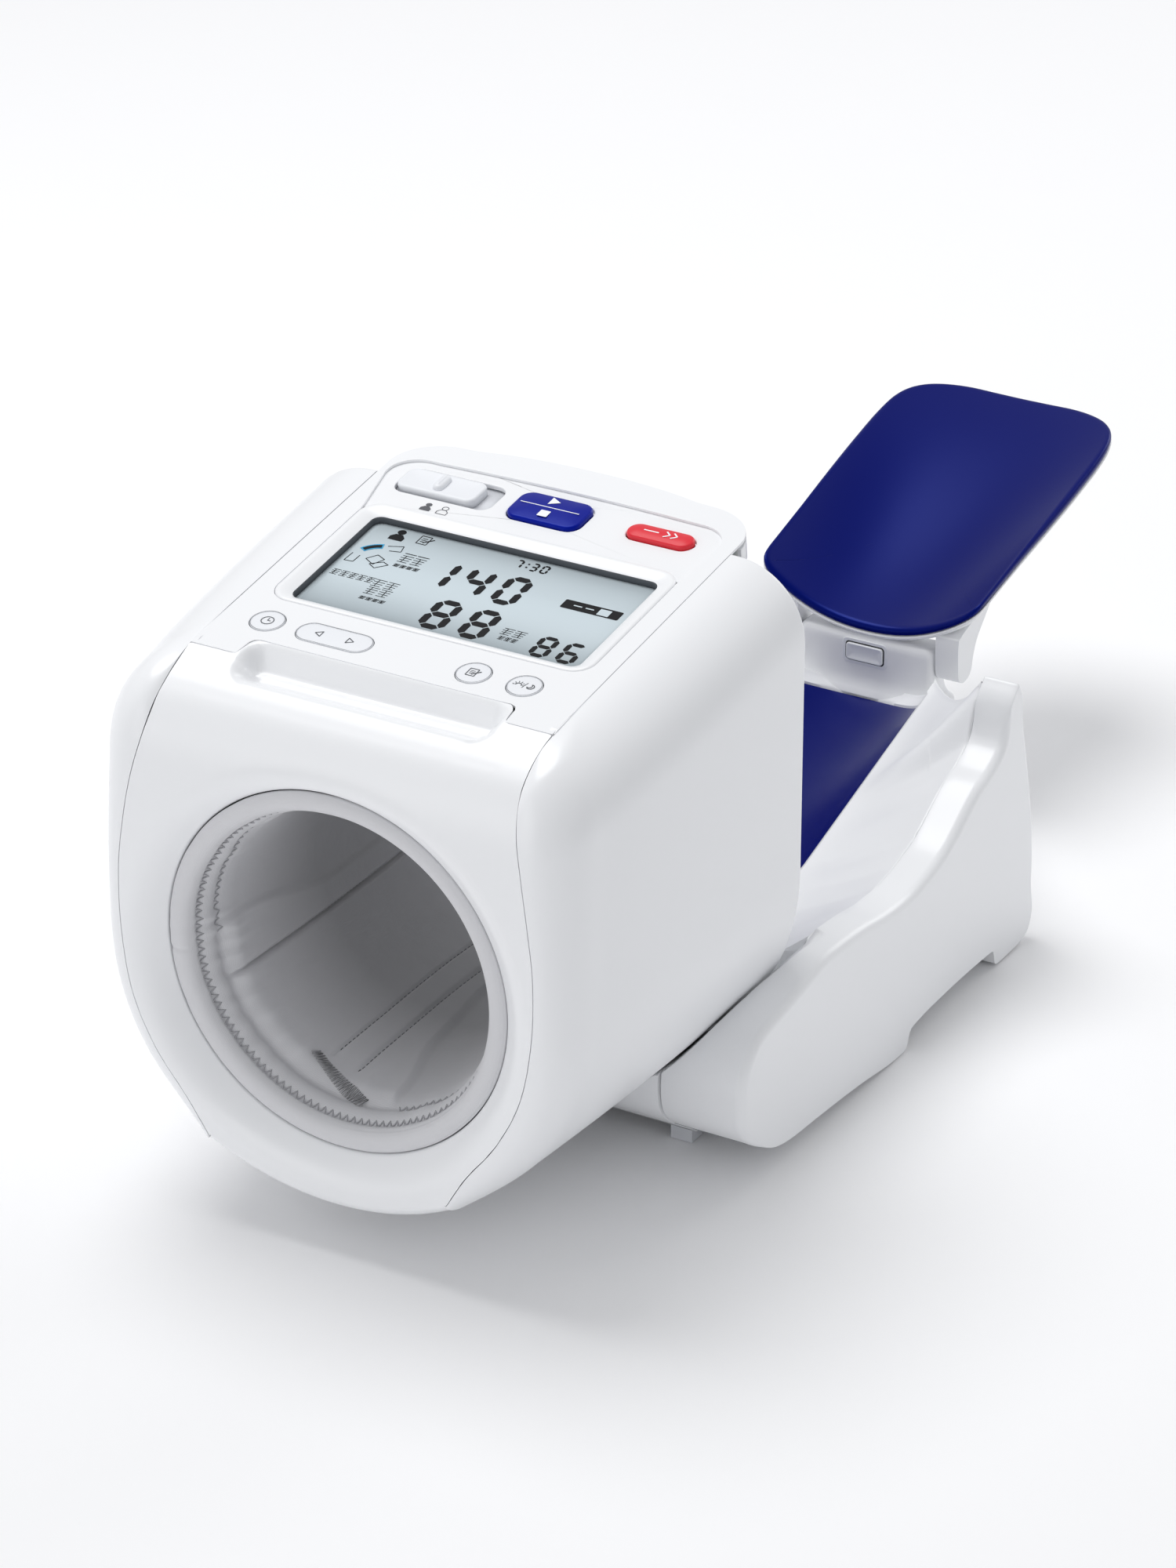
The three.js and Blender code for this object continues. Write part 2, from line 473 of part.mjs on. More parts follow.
upper = upper.subtract(troughBlock(3.4, 200, -TROUGH_HALF - 0.4, TROUGH_HALF + 0.4, 186,
  (x) => insertRear(x) + 0.4, 14, 8));
upper = upper.subtract(box(-31.4, 31.4, 402.8, 425, 50.6, 90)).subtract(box(-46, 46, 400.6, 430, 52,
  120));
upper = upper.subtract(sweep).subtract(box(-99, -83.4, 287, 305, 25, 43));
const insertTop = troughBlock(0, 200, -TROUGH_HALF - 1, TROUGH_HALF + 1, 180, () => 402, 14, 8);
const insert = troughBlock(2.4, 150, -TROUGH_HALF, TROUGH_HALF, 186.4, insertRear, 14, 8)
  .subtract(insertTop).simplify(0.03);
add("upper_case", clear(upper, [insert], 0.2), WHITE);
add("elbow_insert", insert, NAVY);

const plan = [[-77, 121], [77, 121], [77, 151], [W0, 151], [W0, 312], [46, 377], [31, 397], [31,
  417.6], [-31, 417.6], [-31, 397],
  [-46, 377], [-W0, 312], [-W0, 151], [-77, 151]];
let lower = slabX([[121, 8], [124, 5.6], [322, 5.6], [330, 7], [418, 36.6], [418, 40.4], [326, 10.8],
  [322, FLOOR], [121, FLOOR]], -W0, W0)
  .intersect(plate(plan, 0, 120));
lower = lower.subtract(box(-94, -57.6, 176, 300, 0, 7.9)).subtract(box(-92, -60, 183, 290, 7, 12));
add("lower_case", lower, WHITE);
add("battery_door", box(-93.7, -57.9, 176.4, 289.6, 5.7, 7.6), WHITE);
for (const [k, [x, y]] of [[-84, 186], [-68, 186], [-84, 238], [-68, 238]].entries())
  add(`battery_cell_${k + 1}`, rodY(7.2, y, y + 49, x, 15.4 + 1.6, 20).add(rodY(2.6, y + 48.8,
    y + 50.4, x, 17, 12)), STEEL);

// feet: two blocks at the front, two pads at the back
const footRight = box(66, 75, 124, 132, 0, 5.4);
const rearFoot = rodZ(6.5, 0, 5.4, 84, 306, 24);
add("foot_front_right", footRight, WHITE);
add("foot_front_left", footRight.mirror([1, 0, 0]), WHITE);
add("foot_rear_right", rearFoot, RUBBER);
add("foot_rear_left", rearFoot.mirror([1, 0, 0]), RUBBER);

// ---- arm rest and its hinge -----------------------------------------------
let bracket = box(-30.7, 30.7, 403.2, 416.4, 51, 72).add(rodX(6.6, -30.7, 30.7, REST_Y, REST_Z, 24));
bracket = bracket.subtract(box(-9, 9, 400, 408.4, 62.6, 71.4)).subtract(rodX(2.2, -40, 40,
  REST_Y + 1.5, REST_Z - 3, 16));
add("hinge_bracket", bracket, WHITE);
add("latch_button", box(-8.4, 8.4, 402.7, 406.6, 63.2, 70.8), WHITE);

const PAD_SLOPE = Math.tan(THREE.MathUtils.degToRad(13));
function padOutline(grow) {
  const half = [];
  for (const [x, y] of [[0, 545.4], [20, 545], [34, 542], [45, 534.5], [50.5, 524], [52.6, 510], [52,
    480], [50.6, 440], [50, 406],
    [46, 403.6], [38, 403.6], [0, 403.6]])
    half.push([x === 0 ? 0 : x + grow, y > 500 ? y + grow : y < 404 ? y - grow : y]);
  return half.concat(half.slice(1, -1).reverse().map(([x, y]) => [-x, y])).reverse();
}
const restTop = (x, y) => {
  const rim = 98.8 + (y - 403) * PAD_SLOPE;
  const sag = 15 * (1 - smooth(403, 545, y)) + 4;
  return rim - sag * (1 - Math.min(1, Math.abs(x) / 50) ** 2.2);
};
function restBlock(rise, floor, w, y0, y1) {
  const up = [], down = [];
  for (let i = 0; i <= 14; i++) {
    const x = THREE.MathUtils.lerp(-w, w, i / 14), a = [], b = [];
    for (let j = 0; j <= 6; j++) {
      const y = THREE.MathUtils.lerp(y0, y1, j / 6);
      a.push(new THREE.Vector3(x, y, restTop(x, y) + rise));
      b.push(new THREE.Vector3(x, y, floor === null ? restTop(x, y) + rise - 60 : floor));
    }
    up.push(a);
    down.push(b);
  }
  return skin(up, down);
}
const padPlan = plate(padOutline(-1.2), 20, 200), shellPlan = plate(padOutline(0), 20, 200);
const restPad = restBlock(0, 0, 56, 398, 550).subtract(restBlock(-3, -10, 57, 397, 551))
  .intersect(padPlan).simplify(0.03);
add("rest_pad", restPad, NAVY);
let shell = restBlock(-3.5, 0, 56, 398, 550).subtract(restBlock(-6.3, -10, 57, 397, 551))
  .intersect(shellPlan);
const lugOutline = [[404, 68], [404.6, 64], [408, 61.6], [412, 61.6], [416, 64], [417.4, 70], [428,
  88], [430, 98], [404.4, 92], [403.6, 76]];
const lugs = slabX(lugOutline, 31.6, 42).add(slabX(lugOutline, -42, -31.6)).subtract(restBlock(-4,
  200, 57, 397, 551).add(box(-60, 60, 390, 450, 120, 220)));
shell = shell.add(lugs).subtract(rodX(8, -31.3, 31.3, REST_Y, REST_Z, 24));
shell = shell.subtract(rodX(2.2, -60, 60, REST_Y + 1.5, REST_Z - 3, 16).intersect(box(-38, 38, 400,
  420, 50, 80)));
add("rest_shell", clear(shell, [restPad], 0.2), WHITE);
add("hinge_pin", rodX(2.0, -37.4, 37.4, REST_Y + 1.5, REST_Z - 3, 16), STEEL);

export default part;
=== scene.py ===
# %% [markdown]
# # An arm-through blood pressure monitor
# The monitor stands on a desk: a white drum with a cuff inside tilts on a cradle base, and an arm
# rest folds out behind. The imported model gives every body, joint and size. This lesson rebuilds the
# skins finely around it, so each moulded shell, key and cloth edge can be seen close up.

# %% Load the frame and keep its size
import math
from contextlib import contextmanager

import bmesh
import bpy
import numpy as np
from mathutils import Matrix, Vector


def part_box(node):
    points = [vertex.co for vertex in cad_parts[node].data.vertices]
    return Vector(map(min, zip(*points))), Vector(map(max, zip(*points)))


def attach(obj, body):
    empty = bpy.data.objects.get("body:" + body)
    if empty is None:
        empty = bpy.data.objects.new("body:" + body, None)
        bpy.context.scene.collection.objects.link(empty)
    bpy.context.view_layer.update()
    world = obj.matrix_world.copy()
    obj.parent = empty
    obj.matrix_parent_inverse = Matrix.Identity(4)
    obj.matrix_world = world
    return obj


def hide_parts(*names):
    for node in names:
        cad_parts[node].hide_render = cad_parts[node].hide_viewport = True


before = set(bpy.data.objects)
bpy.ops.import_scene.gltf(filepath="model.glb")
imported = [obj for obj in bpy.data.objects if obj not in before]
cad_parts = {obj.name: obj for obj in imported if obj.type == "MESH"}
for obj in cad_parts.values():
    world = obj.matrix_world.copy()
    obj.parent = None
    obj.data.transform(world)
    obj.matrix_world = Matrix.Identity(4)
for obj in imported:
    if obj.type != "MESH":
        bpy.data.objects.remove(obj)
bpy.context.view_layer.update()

# %% [markdown]
# ## Working in the maker's drawing
# Lengths below are in millimetres, as on a moulding drawing: X to the right, Y back from the plane of
# the arm opening, Z up from the table. `place` turns a drawing point into the frame's metres. Only the
# drawing's Y origin has to be found, and the cuff's front lip gives it.

# %% Drawing millimetres to frame metres
MM = 0.001
CUFF_LIP_Y = -1.4                      # how far the cuff's lip stands in front of the opening's plane
origin_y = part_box("cuff_liner")[0][1] - CUFF_LIP_Y * MM
BORE_Z = 110.0                         # height of the arm opening's axis
BORE_R = 70.0


def place(p):
    return (p[0] * MM, p[1] * MM + origin_y, p[2] * MM)


print("drawing origin at y =", round(origin_y, 4), "m")

# %% [markdown]
# ## Camera, light and table
# The monitor is seen from its front right and from above, with a long lens, so that its edges run
# nearly parallel. Broad soft lights keep white plastic readable: each face needs its own grey.

# %% Camera
turn, tip = math.radians(29.94), math.radians(26.91)
right = Vector((math.cos(turn), math.sin(turn), 0))
ahead = Vector((-math.sin(turn) * math.cos(tip), math.cos(turn) * math.cos(tip), -math.sin(tip)))
up = right.cross(ahead)
camera = bpy.data.objects.new("camera", bpy.data.cameras.new("camera"))
bpy.context.scene.collection.objects.link(camera)
spin = Matrix((right, up, -ahead)).transposed().to_4x4()
camera.matrix_world = Matrix.Translation(place((971.0, -1508.8, 1094.2))) @ spin
camera.data.lens = 133.74
camera.data.sensor_width = 36
camera.data.clip_end = 50
bpy.context.scene.camera = camera

# %% Lights and table top


def soft_light(name, where, target, size, power, tint=(1, 1, 1)):
    data = bpy.data.lights.new(name, "AREA")
    data.shape, data.size, data.energy, data.color = "DISK", size, power, tint
    lamp = bpy.data.objects.new(name, data)
    bpy.context.scene.collection.objects.link(lamp)
    lamp.location = where
    lamp.rotation_euler = (Vector(target) - Vector(where)).to_track_quat("-Z", "Y").to_euler()


soft_light("overhead", (-0.7, 0.1, 2.2), (0, 0, 0.1), 1.5, 27)
soft_light("front_left", (-0.7, -2.6, 0.6), (0, -0.1, 0.12), 1.8, 10)
soft_light("right_fill", (2.3, -0.2, 0.9), (0, 0, 0.1), 1.0, 0.6)
soft_light("behind", (0.6, 2.3, 1.3), (0, 0.1, 0.1), 1.4, 10)
world = bpy.data.worlds.new("studio")
world.use_nodes = True
world.node_tree.nodes["Background"].inputs[0].default_value = (0.97, 0.98, 1.0, 1)
world.node_tree.nodes["Background"].inputs[1].default_value = 0.5
bpy.context.scene.world = world
bpy.context.scene.view_settings.view_transform = "Standard"
print("camera and", len(bpy.data.lights), "lights")

# %% [markdown]
# ## Finishes
# Nearly everything is moulded plastic. A moulding is never perfectly even: the gloss varies a little
# where the melt flowed, and the surface carries a very fine orange peel. Each finish is a Principled
# shader with its colour on the socket and noise for roughness and bump.

# %% Moulded plastic


def finish(name, colour, rough, metal=0.0, peel=0.02, peel_scale=900, coat=0.0, spread=0.04, shine=0.5,
           tint=(1, 1, 1)):
    made = bpy.data.materials.new(name)
    made.use_nodes = True
    nodes, links = made.node_tree.nodes, made.node_tree.links
    shader = nodes["Principled BSDF"]
    shader.inputs["Base Color"].default_value = (*colour, 1)
    shader.inputs["Metallic"].default_value = metal
    shader.inputs["Coat Weight"].default_value = coat
    shader.inputs["Coat Roughness"].default_value = 0.08
    shader.inputs["Specular IOR Level"].default_value = shine
    shader.inputs["Specular Tint"].default_value = (*tint, 1)
    place_in = nodes.new("ShaderNodeTexCoord")
    flow = nodes.new("ShaderNodeTexNoise")
    flow.inputs["Scale"].default_value = 22
    spread_node = nodes.new("ShaderNodeMapRange")
    spread_node.inputs["To Min"].default_value = rough - spread
    spread_node.inputs["To Max"].default_value = rough + spread
    links.new(place_in.outputs["Object"], flow.inputs["Vector"])
    links.new(flow.outputs["Fac"], spread_node.inputs["Value"])
    links.new(spread_node.outputs["Result"], shader.inputs["Roughness"])
    grain = nodes.new("ShaderNodeTexNoise")
    grain.inputs["Scale"].default_value = peel_scale
    bump = nodes.new("ShaderNodeBump")
    bump.inputs["Strength"].default_value = peel
    bump.inputs["Distance"].default_value = 0.0005
    links.new(place_in.outputs["Object"], grain.inputs["Vector"])
    links.new(grain.outputs["Fac"], bump.inputs["Height"])
    links.new(bump.outputs["Normal"], shader.inputs["Normal"])
    return made


def srgb(code):
    values = [int(code[i:i + 2], 16) / 255 for i in (0, 2, 4)]
    return tuple(v / 12.92 if v < 0.04045 else ((v + 0.055) / 1.055) ** 2.4 for v in values)


white_gloss = finish("white moulded shell", srgb("f4f5f7"), 0.3, peel=0.006, coat=0.1)
white_satin = finish("white satin key", srgb("eceef2"), 0.38)
white_inner = finish("white inner moulding", srgb("d9dbe0"), 0.5, peel=0.05)
navy_gloss = finish("navy gloss", srgb("010a60"), 0.3, peel=0.003, spread=0.02, shine=0.5,
                    tint=(0.08, 0.16, 0.9))
navy_key = finish("navy key", srgb("02118c"), 0.34, peel=0.003, shine=0.5, tint=(0.1, 0.2, 0.9))
red_key = finish("red key", srgb("e22f3c"), 0.34, peel=0.003, shine=0.3)
print_white = finish("white print", srgb("f6f7fa"), 0.45)
print_grey = finish("grey print", srgb("5f6166"), 0.5, shine=0.2)
key_line = finish("key outline", srgb("8f9196"), 0.6, shine=0.2)
black_plastic = finish("black plastic", srgb("222327"), 0.45, peel=0.08)
rubber = finish("black rubber", srgb("2c2d30"), 0.8, peel=0.2)
steel = finish("brushed steel", srgb("b9bcc0"), 0.3, metal=1.0, peel=0.05)
board_green = finish("circuit board", srgb("1f6a3f"), 0.5)
lcd_ink = finish("display ink", srgb("131316"), 0.5, shine=0.15)
# Dark grey of the display's recess walls: partly the walls' own colour, partly painted shade of the deep
# recess.
wall_grey_and_shade = finish("display wall", srgb("5a5e63"), 0.6, shine=0.15)
seam_grey = finish("seam shadow", srgb("8b8d92"), 0.7, shine=0.1)
lcd_cyan = finish("display cyan", srgb("1f9fd0"), 0.4)
lcd_glow = finish("display glass", srgb("cbd7dd"), 0.5, peel=0.002, shine=0.2)
table_top = finish("pale table", srgb("fdfdfe"), 0.7)
print(len(bpy.data.materials), "finishes")

# %% The table
bpy.ops.mesh.primitive_plane_add(size=14, location=(0, 0, -0.0002))
table = bpy.context.object
table.name = "table"
table.data.materials.append(table_top)

# %% [markdown]
# ## Making a skin
# A moulded shell is a thin wall that follows one outer surface. The surface is a grid of points from a
# formula; Solidify gives the wall and Bevel breaks its edges, as a real mould does. `body_piece` hangs
# any mesh on its CAD body and hides the CAD nodes it stands for.

# %% Pieces and grids


def body_piece(name, mesh, body, look, replaces=()):
    piece = bpy.data.objects.new(name, mesh)
    bpy.context.scene.collection.objects.link(piece)
    if look is not None:
        mesh.materials.clear()
        mesh.materials.append(look)
    mesh.shade_smooth()
    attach(piece, body)
    if replaces:
        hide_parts(*replaces)
    return piece


def mesh_of(name, points, faces, to_frame=place):
    mesh = bpy.data.meshes.new(name)
    mesh.from_pydata([to_frame(p) for p in points], [], faces)
    mesh.validate()
    return mesh


@contextmanager
def reshaping(mesh):
    """Opens a mesh for editing and writes it back afterwards."""
    work = bmesh.new()
    work.from_mesh(mesh)
    yield work
    work.to_mesh(mesh)
    work.free()


def tidy_normals(mesh, merge=0.02):
    with reshaping(mesh) as work:
        bmesh.ops.remove_doubles(work, verts=work.verts, dist=merge * MM)
        bmesh.ops.recalc_face_normals(work, faces=work.faces)


def grid_mesh(name, rows, ring=False, to_frame=place):
    count, width = len(rows), len(rows[0])
    points = [p for row in rows for p in row]
    faces = []
    for i in range(count if ring else count - 1):
        j = (i + 1) % count
        for k in range(width - 1):
            faces.append((i * width + k, i * width + k + 1, j * width + k + 1, j * width + k))
    return mesh_of(name, points, faces, to_frame)


def loft_faces(rings, count, first=0):
    """Quads between closed rings of points that follow each other in one list."""
    faces = []
    for i in range(rings - 1):
        near, far = first + i * count, first + (i + 1) * count
        for k in range(count):
            m = (k + 1) % count
            faces.append((near + k, near + m, far + m, far + k))
    return faces


def face_outward(mesh, centre):
    """Turns the normals away from a centre, judged over the whole mesh."""
    middle = Vector(place(centre))
    with reshaping(mesh) as work:
        bmesh.ops.recalc_face_normals(work, faces=work.faces)
        outward = sum((f.calc_center_median() - middle).dot(f.normal) * f.calc_area() for f in work.faces)
        if outward < 0:
            bmesh.ops.reverse_faces(work, faces=work.faces)


def add_wall(piece, wall, edge=0.3):
    solid = piece.modifiers.new("wall", "SOLIDIFY")
    solid.thickness, solid.offset, solid.use_even_offset = wall * MM, -1, False
    if edge:
        round_edges(piece, edge, 60)


def round_edges(piece, edge, angle=40, segments=3):
    bevel = piece.modifiers.new("edges", "BEVEL")
    bevel.width, bevel.segments, bevel.angle_limit = edge * MM, segments, math.radians(angle)
    bevel.limit_method, bevel.harden_normals = "ANGLE", False
    flat = piece.modifiers.new("even shading", "WEIGHTED_NORMAL")
    flat.keep_sharp, flat.weight = True, 60


def even_shading(piece):
    flat = piece.modifiers.new("even shading", "WEIGHTED_NORMAL")
    flat.keep_sharp = True


def curve_through(points, t):
    """Smooth curve through a short list of points, t from 0 to 1 (an array)."""
    points = np.array(points, float)
    ends = np.vstack([2 * points[0] - points[1], points, 2 * points[-1] - points[-2]])
    span = np.clip(np.asarray(t) * (len(points) - 1), 0, len(points) - 1 - 1e-9)
    i = span.astype(int)
    f = (span - i)[..., None]
    a, b, c, d = ends[i], ends[i + 1], ends[i + 2], ends[i + 3]
    return 0.5 * (2 * b + (c - a) * f + (2 * a - 5 * b + 4 * c - d) * f**2 + (3 * b - a - 3 * c + d) * f**3)


def smooth(low, high, value):
    f = np.clip((np.asarray(value, float) - low) / (np.asarray(high, float) - low), 0, 1)
    return f * f * (3 - 2 * f)


# %% [markdown]
# ## The drum's outer form
# Seen along the bore the drum is a circle below and a rounded square above, and it widens slowly
# towards the back. `drum_radius` gives that outline as a distance from the bore's axis. The side covers
# start at the keyhole seam on the front, roll over a shoulder and run straight back.

# %% Outline of the drum
DRUM_HALF_W, DRUM_GROW, TOP_CORNER = 96.0, 9.0, 28.0
SWELL_FROM, SWELL_OVER = 8, 50         # where the drum starts to widen, and how slowly
SHOULDER = 25                          # depth of the round from the front face to the sides
SLOPE = math.radians(7.9)
PANEL_Y, PANEL_Z = 28.5, 211.9         # front end of the sloping control panel
COVER_REAR = 152.0
PANEL_HALF = 73.7                      # half the width of the control panel
FRONT_SEAM = [
    (73.9, 28, 211.65), (73.5, 15, 207.2), (74.2, 2.4, 198), (76.2, -4, 186), (79.6, -7, 171),
    (82.6, -8.2, 154), (85, -8.6, 134), (84.6, -9, 110), (80.4, -9.8, 86), (71, -10.4, 66),
    (58.4, -10.2, 49), (49.6, -9.4, 34.5),
]


def panel_top(y):
    return PANEL_Z + (y - PANEL_Y) * math.tan(SLOPE)


def drum_radius(angle, y):
    swell = DRUM_GROW * (1 - math.exp(-max(y - SWELL_FROM, 0) / SWELL_OVER))
    half = DRUM_HALF_W + swell * (float(smooth(-1.0, -0.35, angle)) if angle < 0 else 1)
    if angle <= 0:
        return half
    top, c, s = panel_top(y) - BORE_Z, math.cos(angle), math.sin(angle)
    if half * s / c <= top - TOP_CORNER:
        return half / c
    if top * c / s <= half - TOP_CORNER:
        return top / s
    cx, cz = half - TOP_CORNER, top - TOP_CORNER
    along = cx * c + cz * s
    return along + math.sqrt(along**2 - cx**2 - cz**2 + TOP_CORNER**2)


def on_drum(angle, y, inset=0.0):
    r = drum_radius(angle, y) - inset
    return np.array((r * math.cos(angle), y, BORE_Z + r * math.sin(angle)))


def turn_in(angle, y):
    """How far a row near the panel turns up as it runs back, so that the cover's edge stays straight."""
    edge = PANEL_HALF + 0.4
    first = math.atan2(panel_top(PANEL_Y) - BORE_Z, edge)
    here = math.atan2(panel_top(max(y, PANEL_Y)) - BORE_Z, edge)
    return (here - first) * float(smooth(0.1, first, angle))


def shoulder_row(start, angle, rear, flat, turns=14, steps=26, rear_round=2.5):
    end, row = start[1] + SHOULDER, []
    target = on_drum(angle + turn_in(angle, end), end)
    for f in np.linspace(0, math.pi / 2, turns):
        side = (1 - flat) * math.sin(f) + flat * (1 - math.cos(f))
        row.append((start[0] + (target[0] - start[0]) * side, start[1] + SHOULDER * (1 - math.cos(f)),
                    start[2] + (target[2] - start[2]) * side))
    for y in np.linspace(end, rear - rear_round, steps)[1:]:
        row.append(tuple(on_drum(angle + turn_in(angle, y), y)))
    for f in np.linspace(0, math.pi / 2, 6)[1:]:
        y = rear - rear_round + rear_round * math.sin(f)
        row.append(tuple(on_drum(angle + turn_in(angle, y), y, rear_round * (1 - math.cos(f)))))
    return row


# %% Side covers


def side_cover(side):
    seam = curve_through(FRONT_SEAM, np.linspace(0, 1, 130))
    rows = []
    for u, start in zip(np.linspace(0, 1, 130), seam):
        out = np.array((start[0], 0, start[2] - BORE_Z))
        start = start + 0.22 * out / np.linalg.norm(out)
        angle = math.atan2(start[2] - BORE_Z, start[0])
        rear = COVER_REAR - 9 * float(smooth(-0.6, -0.95, angle))
        row = shoulder_row(start, angle, rear, 1 - float(smooth(0, 0.2, u)))
        rows.append([(side * p[0], p[1], p[2]) for p in row])
    mesh = grid_mesh("side_cover_skin", rows)
    face_outward(mesh, (0, 80, BORE_Z))
    name = "right" if side > 0 else "left"
    cover = body_piece(f"cover_{name}", mesh, "drum", white_gloss, [f"side_cover_{name}"])
    add_wall(cover, 2.4, 0.35)
    return cover


covers = [side_cover(1), side_cover(-1)]
print("side covers:", sum(len(c.data.vertices) for c in covers), "points")

# %% [markdown]
# ## The keyhole front
# One moulding makes the front face, rolls back over the top to the control panel, and carries on under
# the drum as a narrow strip. Its domain is flat: x across, and q measured along the front profile. A fan
# of rays from the arm opening to the keyhole seam covers it without any seam line. The finger grip is a
# scoop pressed into the same skin.

# %% Front profile and keyhole
PROFILE = [
    (-8.2, 20), (-9.2, 34.5), (-10.2, 49), (-10.4, 66), (-9.8, 86), (-9, 110), (-8.6, 134),
    (-8.2, 154), (-7, 171), (-4, 186), (2.4, 198), (8.2, 203.2), (15, 207.2), (24.4, 211.1),
    (32, 212.4), (40, 213.5),
]
profile = curve_through(PROFILE, np.linspace(0, 1, 900))
lengths = np.concatenate([[0], np.cumsum(np.linalg.norm(np.diff(profile, axis=0), axis=1))])
profile_q = lengths - np.interp(BORE_Z, profile[:, 1], lengths) + BORE_Z


def q_of(y, z):
    return profile_q[np.argmin((profile[:, 0] - y) ** 2 + (profile[:, 1] - z) ** 2)]


def on_profile(q):
    return np.interp(q, profile_q, profile[:, 0]), np.interp(q, profile_q, profile[:, 1])


GRIP_HALF, GRIP_DEPTH, GRIP_CORNER = 54.0, 8.5, 8.0
q_top = q_of(24.6, 211.2)              # where the control panel begins beside the grip
q_grip_rear, q_grip_front = q_of(35.0, 212.8), q_of(13.2, 206.2)
tip_angle = math.atan2(34.5 - BORE_Z, 49.6)


def keyhole_outline():
    seam = curve_through(FRONT_SEAM[::-1], np.linspace(0, 1, 160))
    side = [(x - 0.12, q_of(y, z)) for x, y, z in seam]
    side = [(x, q) for x, q in side if q < q_top - 0.2]
    corner = [(73.6, q_top), (56.4, q_top), (55.0, q_top + 0.5), (54.4, q_top + 2),
              (53.6, q_grip_rear - 2.4),
              (52.4, q_grip_rear - 0.7), (50.4, q_grip_rear), (0, q_grip_rear)]
    return side + corner


outline = np.array(keyhole_outline())
outline_angle = np.arctan2(outline[:, 1] - BORE_Z, outline[:, 0])
outline_reach = np.hypot(outline[:, 0], outline[:, 1] - BORE_Z)


def mirrored(angle):
    """The same place on the right half, for an angle on either half."""
    return math.copysign(math.pi, angle) - angle if abs(angle) > math.pi / 2 else angle


def keyhole_reach(angle):
    angle = mirrored(angle)
    if angle < tip_angle:
        return 86 + 3.6 * ((angle + math.pi / 2) / (tip_angle + math.pi / 2)) ** 2
    best = np.argmin(np.abs(outline_angle - angle))
    ray = np.array((math.cos(angle), math.sin(angle)))
    reaches = []
    for i in range(max(best - 1, 0), min(best + 1, len(outline) - 1)):
        a, b = outline[i] - (0, BORE_Z), outline[i + 1] - (0, BORE_Z)
        e = b - a
        det = ray[0] * e[1] - ray[1] * e[0]
        if abs(det) > 1e-9:
            k = (a[0] * ray[1] - a[1] * ray[0]) / det
            if -0.02 <= k <= 1.02:
                reaches.append((a[0] * e[1] - a[1] * e[0]) / det)
    return max(reaches) if reaches else float(outline_reach[best])


# %% Front panel with its finger grip


def grip_depth(x, q):
    half_q, mid_q = (q_grip_rear - q_grip_front) / 2, (q_grip_rear + q_grip_front) / 2
    dx, dq = abs(x) - (GRIP_HALF - GRIP_CORNER), abs(q - mid_q) - (half_q - GRIP_CORNER)
    outside = math.hypot(max(dx, 0), max(dq, 0)) + min(max(dx, dq), 0) - GRIP_CORNER
    reach = 6.5 if q > mid_q else 9.5
    return GRIP_DEPTH * float(smooth(0, 1, min(max(-outside / reach, 0), 1)))


def front_point(x, q, r):
    y, z = on_profile(q)
    y2, z2 = on_profile(q + 0.5)
    normal = np.array((0, -(z2 - z), y2 - y)) / math.hypot(z2 - z, y2 - y)
    dish = max(0.0, (84 - r) / 14) ** 2 * -y
    point = np.array((x, y + dish, z))
    if z > 196:
        point = point - normal * grip_depth(x, q)
    return tuple(point)


def front_panel():
    under = np.linspace(-math.pi - tip_angle + 0.004, tip_angle - 0.004, 120)
    around = np.linspace(tip_angle + 0.001, math.pi - tip_angle - 0.001, 620)
    angles = np.concatenate([under, around])
    rows = []
    for angle in angles:
        a = (angle + math.pi) % (2 * math.pi) - math.pi
        reach, c, s = keyhole_reach(a), math.cos(a), math.sin(a)
        row = [(BORE_R * c, 4.0, BORE_Z + BORE_R * s), (BORE_R * c, 1.2, BORE_Z + BORE_R * s),
               ((BORE_R + 0.25) * c, 0.35, BORE_Z + (BORE_R + 0.25) * s)]
        for f in np.linspace(0, 1, 58)[1:]:
            r = BORE_R + (reach - BORE_R) * f
            row.append(front_point(r * c, BORE_Z + r * s, r))
        rows.append(row)
    mesh = grid_mesh("front_face", rows, ring=True)
    strip = []
    for angle, row in zip(under, rows[:len(under)]):
        strip.append(shoulder_row(np.array(row[-1]), angle, 142.0, 0.0, turns=14, steps=20))
    below = grid_mesh("front_strip", strip)
    with reshaping(mesh) as work:
        work.from_mesh(below)
        bmesh.ops.remove_doubles(work, verts=work.verts, dist=0.05 * MM)
    face_outward(mesh, (0, 90, BORE_Z))
    panel = body_piece("keyhole_front", mesh, "drum", white_gloss,
                       ["front_panel", "drum_underside", "grip_cup"])
    add_wall(panel, 2.2, 0.3)
    return panel


keyhole = front_panel()
print("front panel:", len(keyhole.data.vertices), "points")

# %% [markdown]
# ## Flat mouldings with holes
# The control panel is a flat plate laid on the drum's slope, pierced for the display and the keys. An
# outline and its holes are filled, extruded and bevelled, which is how crisp moulded plates are made.
# Panel coordinates are x across, v up the slope and w out of it.

# %% Panel coordinates and plates
ALONG = np.array((0, math.cos(SLOPE), math.sin(SLOPE)))
OUT = np.array((0, -math.sin(SLOPE), math.cos(SLOPE)))


def on_panel(p):
    x, v, w = p
    return place(np.array((x, PANEL_Y, PANEL_Z)) + v * ALONG + w * OUT)


